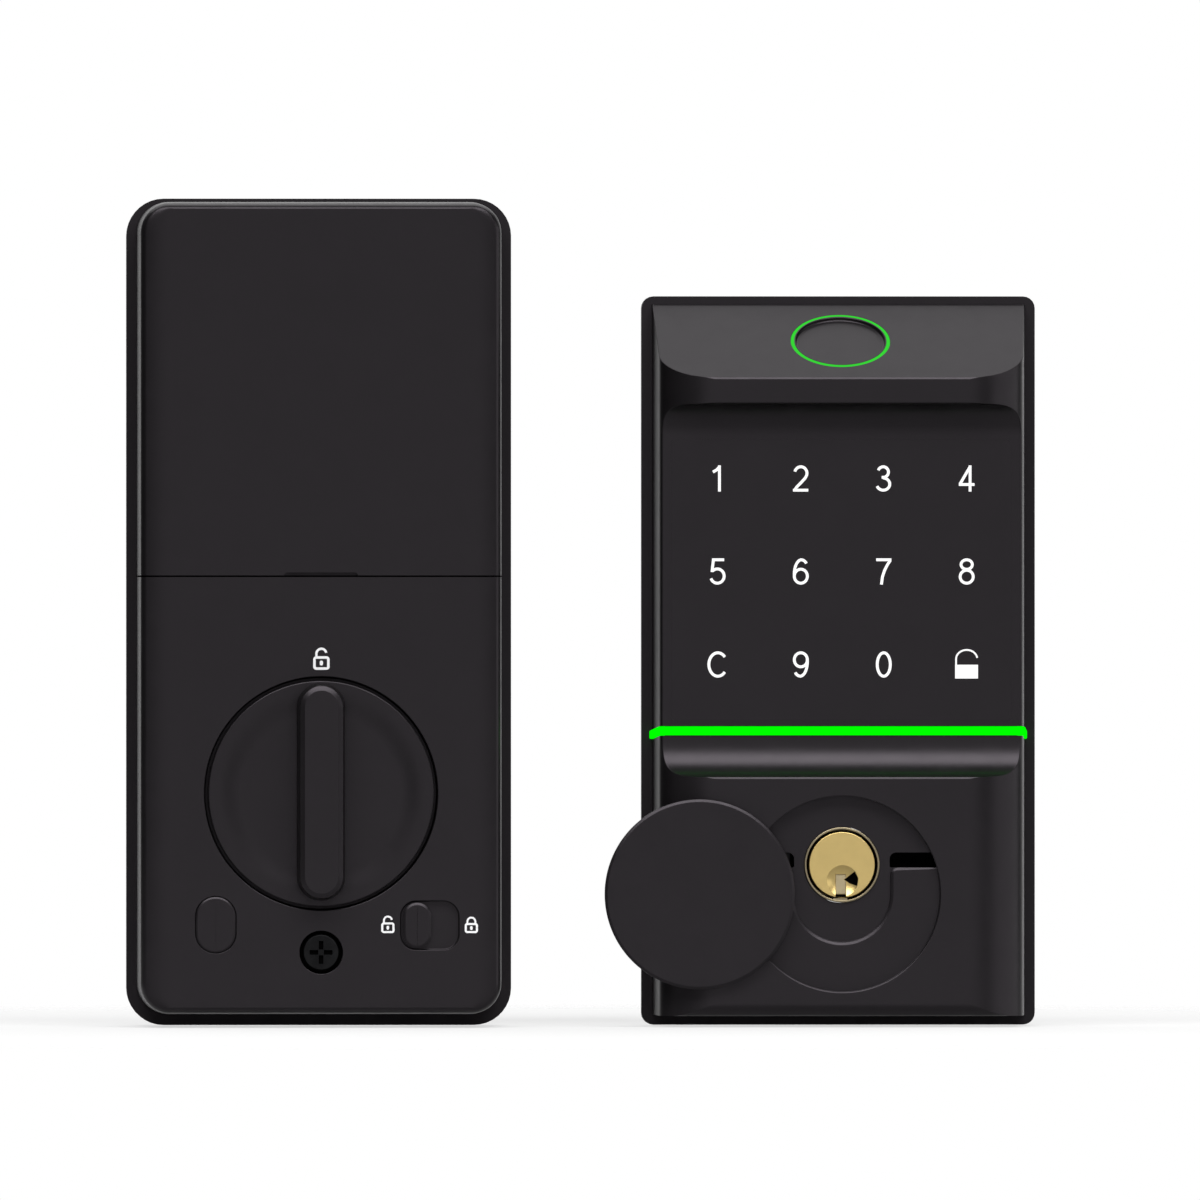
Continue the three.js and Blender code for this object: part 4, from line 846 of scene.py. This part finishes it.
def case_block(inset, back):
    """The whole case: sides that lean in and a round edge into the flat front."""
    turns = [radians(SIDE_TURN * share) for share in shares(12)]
    rise = [(SIDE_WIDE * (1 - cos(a)), SIDE_DEEP * sin(a)) for a in turns]
    start, base = rise.pop()
    rise += [(start + CROWN_WIDE * share, base + CROWN_SLOPE * CROWN_WIDE * (1 - (1 - share) ** 2) / 2)
             for share in shares(8)]
    top = rise[-1][1]
    edge = top - inset / 2
    levels = [(case_outline(inset, inset), back)]
    for inward, up in rise:
        end = END_EDGE * (1 - sqrt(max(1 - (up / top) ** 2, 0)))
        levels.append((case_outline(inset + SIDE_LEAN + inward, inset + END_LEAN + end),
                       case_front - inset - edge + edge * up / top))
    return stack(levels)


def case_half(name, low, high, back):
    half = carved(name, interior, case_block(0, back), case_block(CASE_WALL, back - OVER))
    limit = brick(case_left - 5, case_right + 5, 0, case_front + 1, low, high)
    return combine(half, interior, limit, operation="INTERSECT")


def build_battery_cover():
    cover = case_half("battery_door", seam_high, case_high + 1, cover_back)
    notch = stadium(0, seam_high, NOTCH_WIDTH, NOTCH_HEIGHT)
    combine(cover, interior, prism(notch, case_front - NOTCH_DEEP, case_front + OVER))
    finish_piece(cover, case_plastic, body="battery_cover", replaced=["battery_cover"])


def build_lower_shell():
    front, into = case_front, inner_face + 0.2
    cup_floor = disc_front - DISC_THICK - DISC_GAP
    cup = KNOB_DISC + KNOB_GROOVE
    shell = case_half("lower_case", case_low - 1, seam_low, lower_back)
    slider_box = round_rect(SLIDER_X, SLIDER_Z, SLIDER_WIDTH + 3, SLIDER_HEIGHT + 3, 4)
    combine(shell, interior,
            rod(knob_x, knob_z, cup + CASE_WALL, cup_floor - 2, into),
            rod(screw_x, screw_z, FRONT_BOSS, base_front, into, 48),
            prism(slider_box, inner_face - 1.3, into), operation="UNION")
    button = stadium(button_x, button_z, BUTTON_WIDTH + 2 * BUTTON_GAP, BUTTON_HEIGHT + 2 * BUTTON_GAP)
    corner = KNOB_WIDTH / 2 + (SLIDER_HEIGHT - KNOB_HEIGHT) / 2
    slider = round_rect(SLIDER_X, SLIDER_Z, SLIDER_WIDTH, SLIDER_HEIGHT, corner, steps=16)
    combine(shell, interior,
            pocket(circle(knob_x, knob_z, cup, 180), cup_floor, front, 0.2, 0.3),
            rod(knob_x, knob_z, SHAFT_HOLE, base_front, front, 64),
            pocket(circle(screw_x, screw_z, SCREW_BORE, 96), front - SCREW_SEAT, front, 0.12, 0.1),
            rod(screw_x, screw_z, FRONT_HOLE, base_front - OVER, front, 48),
            pocket(button, inner_face - OVER, front, 0.12),
            pocket(slider, front - SLIDER_DEEP, front, 0.15, 0.25))
    finish_piece(shell, case_plastic, replaced=["lower_shell"])


# ---- Thumb-turn, buttons, screw

DISH_FLOOR, DISH_RIM, DISH_DEEP = 14.6, 19.4, 0.5       # the disc is a little dished round the grip
SHAFT_RADIUS, SHAFT_BACK = 6.5, 4.5
GRIP_FOOT, GRIP_DRAFT = 0.4, 0.1        # the fillet at the grip's foot, and how much its sides lean in


def grip_level(shrink, depth):
    return stadium(knob_x, knob_z + GRIP_UP, GRIP_WIDTH - 2 * shrink, GRIP_LENGTH - 2 * shrink, 24), depth


def build_thumb_turn():
    back = disc_front - DISC_THICK
    profile = [(SHAFT_RADIUS, SHAFT_BACK), (SHAFT_RADIUS, back), (KNOB_DISC, back)]
    profile += rim(KNOB_DISC, disc_front, 0.3, 6)
    for share in shares(12):
        radius = DISH_RIM + (DISH_FLOOR - DISH_RIM) * share
        profile.append((radius, disc_front - DISH_DEEP * (1 - cos(pi * share)) / 2))
    disc = turned(knob_x, knob_z, profile, 180)
    floor = disc_front - DISH_DEEP
    levels = [grip_level(0, back + 1), grip_level(0, floor - 0.2)]
    levels += [grip_level(inward - GRIP_FOOT, floor + GRIP_FOOT - up)
               for inward, up in reversed(quarter(GRIP_FOOT, 5))][1:]
    levels += [grip_level(GRIP_DRAFT + inward, thumb_top + up) for inward, up in bevel(0.9, 0.33, 0.15, 4)]
    knob = joined("turn_knob", interior, disc, stack(levels))
    finish_piece(knob, case_plastic, body="thumb_turn", replaced=["thumb_turn"])


def build_controls():
    _, _, back, front, _, _ = interior.span("pairing_button")
    cap = stadium(button_x, button_z, BUTTON_WIDTH, BUTTON_HEIGHT)
    flange = stadium(button_x, button_z, BUTTON_WIDTH + 1.8, BUTTON_HEIGHT + 1.8)
    button = joined("pairing_key", interior, bevelled(cap, back, front - 0.02, 0.3, 0.11),
                    prism(flange, inner_face - 1.7, inner_face - 0.3))
    finish_piece(button, case_plastic, body="pairing_button", replaced=["pairing_button"])
    left, right, _, front, _, _ = interior.span("privacy_knob")
    cap = stadium((left + right) / 2, SLIDER_Z, KNOB_WIDTH, KNOB_HEIGHT)
    foot = case_front - SLIDER_DEEP + 0.05
    slider = solid("privacy_slider", interior, bevelled(cap, foot, front, 0.45, 0.17))
    finish_piece(slider, case_plastic, body="privacy_knob", replaced=["privacy_knob"])


CROSS_ARM, CROSS_WIDTH, CROSS_DEEP, CROSS_HUB = 2.15, 0.9, 1.3, 0.5
STEM_RADIUS, HEAD_THICK, HEAD_EDGE = 2.0, 1.8, 0.35


def build_front_screw():
    _, _, back, front, _, _ = interior.span("front_screw")
    seat, half = front - HEAD_THICK, CROSS_WIDTH / 2
    floor = front - CROSS_DEEP
    profile = [(STEM_RADIUS, back), (STEM_RADIUS, seat), (SCREW_HEAD, seat)]
    profile += rim(SCREW_HEAD, front, HEAD_EDGE, 5)
    slots, shade_bars = [], []
    for turn in range(4):
        arm = [spun(x, z, radians(90 * turn))
               for x, z in ((CROSS_HUB, -half), (CROSS_ARM, -half), (CROSS_ARM, half), (CROSS_HUB, half))]
        mouth = [(screw_x + x, screw_z + z) for x, z in arm]
        slots.append(stack([(offsets(mouth, -0.08), floor), (mouth, front + OVER)]))
        # near-black bars at the bottoms of the cross's arms: painted shade in the recess
        shade_bars.append(prism(offsets(mouth, -0.04), floor - 0.2, front - 0.5))
    screw = carved("cross_head_screw", interior, turned(screw_x, screw_z, profile, 72), *slots)
    finish_piece(screw, black_steel, replaced=["front_screw"])
    finish_piece(joined("cross_recess_shade", interior, *shade_bars), painted_shade_black)
    # A near-black ring sunk in the gap round the head: painted shade between the head and its bore.
    inner, outer, top = SCREW_HEAD + 0.04, SCREW_BORE - 0.02, front - 1.2
    shape = turned_ring(screw_x, screw_z, [(inner, seat), (outer, seat), (outer, top), (inner, top)])
    finish_piece(solid("screw_gap_shade", interior, shape), painted_shade_black)


# ==== Printed and backlit symbols

PRINT_THICK, PRINT_ROOT = 0.03, 0.01
LAYER = 0.004            # a stroke that crosses another is this much higher


def line_shape(path, width, floor, layers=0):
    """A line of even width along a path, on depth `floor`. It is closed if it ends where it starts."""
    closed = hypot(path[0][0] - path[-1][0], path[0][1] - path[-1][1]) < 1e-6
    if closed:
        path = path[:-1]
    left, right = offsets(path, width / 2, closed), offsets(path, -width / 2, closed)
    root, top = floor - PRINT_ROOT, floor + PRINT_THICK + layers * LAYER
    if not closed:
        return prism(left + right[::-1], root, top)
    rings = ((left, root), (left, top), (right, top), (right, root))
    return skin([[(x, depth, z) for x, z in side] for side, depth in rings], closed=True)


def printed(outline, floor):
    return prism(outline, floor - PRINT_ROOT, floor + PRINT_THICK)


def digit_paths():
    """Centre lines of each symbol in a box one unit high, standing on z = 0."""
    s = 0.052       # half the stroke, so that the outside is one unit high
    top = 1 - s
    six = [arc(0, 0.32, 0.25, 0.32 - s, 0, 360, 36),
           arc(0.03, 0.4, 0.28, 0.6 - s, 190, 96, 14) + arc(0.0, 0.74, 0.22, 0.26 - s, 88, 18, 6)]
    return {
        "1": [[(0.06, 0), (0.06, 1)], [(0.06, 0.95), (-0.04, 0.83), (-0.19, 0.745)]],
        "2": [arc(0, 0.7, 0.235, 0.3 - s, 165, -18, 18) + [(0.17, 0.52), (0.0, 0.33), (-0.16, 0.17),
                                                           (-0.25, 0.03)], [(-0.3, s), (0.285, s)]],
        "3": [arc(-0.02, 0.745, 0.2, 0.255 - s, 160, -90, 18),
              arc(-0.02, 0.285, 0.25, 0.285 - s, 90, -160, 20), [(-0.08, 0.545), (0, 0.545)]],
        "4": [[(0.13, 0), (0.13, 1)], [(-0.3, 0.27), (0.3, 0.27)], [(0.13, 0.95), (-0.26, 0.28)]],
        "5": [[(0.24, top), (-0.17, top)], [(-0.165, 1), (-0.225, 0.48)],
              arc(-0.02, 0.325, 0.26, 0.325 - s, 136, -160, 26)],
        "6": six,
        "7": [[(-0.29, top), (0.29, top)],
              [(0.25, 0.92), (0.14, 0.76), (0.03, 0.54), (-0.05, 0.3), (-0.09, 0)]],
        "8": [arc(0, 0.3, 0.25, 0.3 - s, 0, 360, 36), arc(0, 0.765, 0.215, 0.235 - s, 0, 360, 36)],
        "9": [[(-x, 1 - z) for x, z in path] for path in six],
        "0": [arc(0, 0.5, 0.25, 0.5 - s, 90, 450, 40)],
        "C": [arc(0, 0.5, 0.345, 0.5 - s, 40, 320, 36)],
    }


KEYS = ["1234", "5678", "C90"]
KEY_PITCH, KEY_SHIFT, ROW_TOP, ROW_PITCH = 15.39, 0.15, 7.26, 17.25
DIGIT_SIZE, DIGIT_STROKE = 4.85, 0.52


def build_keypad_symbols():
    """Four columns and three rows of symbols, spread evenly over the panel."""
    front = keypad_depth
    columns = [(panel_left + panel_right) / 2 + (i - 1.5) * KEY_PITCH + KEY_SHIFT for i in range(4)]
    rows = [panel_high - ROW_TOP - i * ROW_PITCH for i in range(3)]
    paths = digit_paths()
    for row, keys in zip(rows, KEYS):
        for x, key in zip(columns, keys):
            shapes = []
            for i, path in enumerate(paths[key]):
                line = [(x + px * DIGIT_SIZE, row + (pz - 0.5) * DIGIT_SIZE) for px, pz in path]
                shapes.append(line_shape(line, DIGIT_STROKE, front, i))
            finish_piece(joined(f"symbol_{key}", exterior, *shapes), white_light)
    x, z = columns[3], rows[2]
    low, high = z - 2.6, z - 0.05
    body = [(x - 2.15, low), (x + 2.1, low), (x + 2.1, high), (x - 2.15, high)]
    shackle = [(x - 1.97, z - 0.6)] + arc(x, z + 1.0, 1.97, 1.7, 180, 8, 24)
    glyph = joined("symbol_unlock", exterior, printed(body, front), line_shape(shackle, 0.32, front, 1))
    finish_piece(glyph, white_light)


def padlock(name, x, z, height, width, line, opened):
    """An outline padlock: a round-cornered body with a dot, and a shackle that is shut or swung open."""
    body_height = 0.61 * height
    body_z = z - height / 2 + body_height / 2
    body = round_rect(x, body_z, width - line, body_height - line, 0.12 * width, steps=5)
    foot = body_z + body_height / 2 - line / 2
    reach = 0.3 * width
    rise = z + height / 2 - line / 2 - reach
    shackle = [(x - reach, foot)] + arc(x, rise, reach, reach, 180, 10 if opened else 0, 16)
    if not opened:
        shackle.append((x + reach, foot))
    icon = joined(name, interior, line_shape(body + body[:1], line, case_front),
                  line_shape(shackle, 0.9 * line, case_front, 1),
                  printed(stadium(x, body_z, 0.2 * width, 0.3 * width, 8), case_front))
    finish_piece(icon, white_print)


def build_printed_icons():
    padlock("print_unlocked_large", 0.05, 68.15, 4.15, 3.05, 0.48, True)
    padlock("print_unlocked_small", 12.35, 19.0, 3.25, 2.45, 0.38, True)
    padlock("print_locked_small", 27.8, 18.9, 3.05, 2.45, 0.38, False)


# ==== CAD nodes that stay as they are but for their looks

def dress(obj, material, edge):
    """Gives a CAD node its material and, with `edge`, rounds its sharp edges without touching its mesh."""
    paint(obj, material)
    if not edge:
        return
    soft = obj.modifiers.new("soft edges", "BEVEL")
    soft.width = edge * MM
    soft.segments = 3
    soft.limit_method = "ANGLE"
    soft.angle_limit = radians(38)
    soft.use_clamp_overlap = True
    soft.harden_normals = True


def dress_cad_nodes():
    """Materials and edges by how the nodes' names start."""
    dressing = [
        (rim_paint, 0.35, ("exterior_base_plate",)),
        (rim_plastic, 0.45, ("interior_base",)),
        (seal_rubber, 0, ("exterior_gasket", "cable_grommet")),
        (zinc_steel, 0.12, ("mounting_plate", "mounting_post", "tailpiece")),
        (zinc_steel, 0, ("cylinder_screw", "plate_screw", "spindle_gear", "gear_motor", "slide_switch")),
        (black_steel, 0, ("exterior_case_screw", "interior_case_screw")),
        (spring_steel, 0, ("cover_post", "cover_clip", "cover_spring", "spindle_socket", "spindle_circlip")),
        (turned_brass, 0, ("plug_cap",)),
        (gear_brass, 0, ("motor_pinion",)),
        (board_green, 0, ("keypad_board", "control_board", "main_board")),
        (socket_plastic, 0, ("keypad_cable_socket",)),
        (dark_plastic, 0, ("cover_bracket", "fingerprint_module", "tact_switch", "battery_tray")),
        (cell_jacket, 0, ("battery_cell",)),
        (nickel, 0, ("contact_",)),
    ]
    for material, edge, starts in dressing:
        for name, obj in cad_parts.items():
            if name.startswith(starts):
                dress(obj, material, edge)


# ==== Stage, lights, camera

MIDDLE = (-0.045, 0.0, 0.045)
FLOOR_RADIUS, FLOOR_SOLID = 0.3, 0.1     # it fades out from the second to the first
FLOOR_SOFTEN = 0.6               # how clear it is to the camera and in reflections, so its shadow is soft
FLOOR_GAP = 0.0002
WALL_LEVEL, ROOM_LEVEL = 0.55, 0.04
WALL_TURN, WALL_UP = radians(10), radians(8)      # the white wall is behind, a little right and up
WALL_START = 0.7                 # and fades in from this cosine off its middle
FRAME_WIDTH = 0.2234             # what the picture is wide, at the door face
FRAME_SHIFT = (0.0037, 0.0022)
CAMERA_DISTANCE = 5.5
CAMERA_TURN = radians(1.5)       # a little from the left
SENSOR_WIDTH = 36


def build_floor():
    """A pale round floor that fades out into the white of the studio, with a soft shadow under the lock."""
    made = Surface("pale_floor", (0.93, 0.93, 0.93), 0.9, specular=0.1)
    made.relief(made.noise(40), 0.02)
    distance = made.out("VectorMath", {0: made.place}, "Value", operation="LENGTH")
    fade = made.ranged(distance, 0, 1, FLOOR_SOLID, FLOOR_RADIUS)
    ray = made.node("LightPath", {}).outputs
    mirrored = made.larger(ray["Is Glossy Ray"], ray["Is Transmission Ray"])
    looked_at = made.larger(ray["Is Camera Ray"], mirrored)
    clearness = made.larger(fade, made.ranged(looked_at, 0, FLOOR_SOFTEN))
    mix = made.out("MixShader", {"Fac": clearness, 1: made.shader.outputs["BSDF"],
                                 2: made.out("BsdfTransparent", {})})
    made.feed(made.tree.nodes["Material Output"], {"Surface": mix})
    radii = [FLOOR_RADIUS * 50 ** -share for share in shares(12)]
    points, faces = skin([[(x, y, 0) for x, y in circle(0, 0, radius, 72)] for radius in radii])
    faces.pop(-2)       # the lid across the outermost ring
    mesh = bpy.data.meshes.new("studio_floor")
    mesh.from_pydata(points, [], faces)
    mesh.materials.append(made.material)
    floor = new_object("studio_floor", mesh)
    floor.location = (MIDDLE[0], MIDDLE[1], cad_bounds[0][2] - FLOOR_GAP)


def build_world():
    """White wherever the camera looks, and behind the lock for reflections; a dim room in front of it."""
    world = bpy.data.worlds.new("studio")
    world.use_nodes = True
    made = Nodes(world.node_tree)
    ray = made.node("LightPath", {}).outputs
    wall_way = (cos(WALL_UP) * sin(WALL_TURN), cos(WALL_UP) * cos(WALL_TURN), sin(WALL_UP))
    toward = made.out("VectorMath", {0: made.out("TexCoord", {}, "Generated"), 1: wall_way}, "Value",
                      operation="DOT_PRODUCT")
    mirrored = made.larger(ray["Is Glossy Ray"], ray["Is Transmission Ray"])
    wall_level = made.out("Mix", {"Factor": mirrored, "A": WALL_LEVEL, "B": 1})
    wall = made.ranged(toward, ROOM_LEVEL, wall_level, WALL_START, 1)
    seen = made.out("Mix", {"Factor": ray["Is Camera Ray"], "A": wall, "B": 1})
    made.feed(made.tree.nodes["Background"], {"Color": (1, 1, 1, 1), "Strength": seen})
    bpy.context.scene.world = world


def softbox(name, place, width, height, power):
    """A rectangular lamp that faces the lock."""
    light = bpy.data.lights.new(name, "AREA")
    light.shape = "RECTANGLE"
    light.size = width
    light.size_y = height
    light.energy = power
    box = new_object(name, light)
    box.location = place
    box.rotation_euler = (Vector(MIDDLE) - Vector(place)).to_track_quat("-Z", "Y").to_euler()


def build_lights():
    softbox("overhead", (-0.045, 0.78, 1.5), 2.6, 1.4, 13.8)
    softbox("key", (-0.045, -1.4, 1.51), 2.4, 1.15, 52)
    softbox("front", (0.0, -2.6, -0.1), 1.6, 1.8, 5.6)
    softbox("right", (2.2, -0.7, 0.3), 3.2, 0.9, 12)


def build_camera():
    low, high = cad_bounds
    camera = bpy.data.cameras.new("camera")
    camera.sensor_width = SENSOR_WIDTH
    camera.lens = SENSOR_WIDTH * CAMERA_DISTANCE / FRAME_WIDTH
    viewer = new_object("camera", camera)
    viewer.location = ((low[0] + high[0]) / 2 + FRAME_SHIFT[0] - CAMERA_DISTANCE * sin(CAMERA_TURN),
                       -CAMERA_DISTANCE * cos(CAMERA_TURN), (low[2] + high[2]) / 2 + FRAME_SHIFT[1])
    viewer.rotation_euler = (radians(90), 0, -CAMERA_TURN)
    bpy.context.scene.camera = viewer


for build in (build_camera, build_floor, build_world, build_lights, build_shell, build_slot_shade,
              build_light_bar, build_sensor, build_panel, build_cylinder, build_plug, build_cover,
              build_battery_cover, build_lower_shell, build_thumb_turn, build_controls, build_front_screw,
              build_keypad_symbols, build_printed_icons, dress_cad_nodes):
    build()
bpy.context.scene.view_settings.view_transform = "Standard"
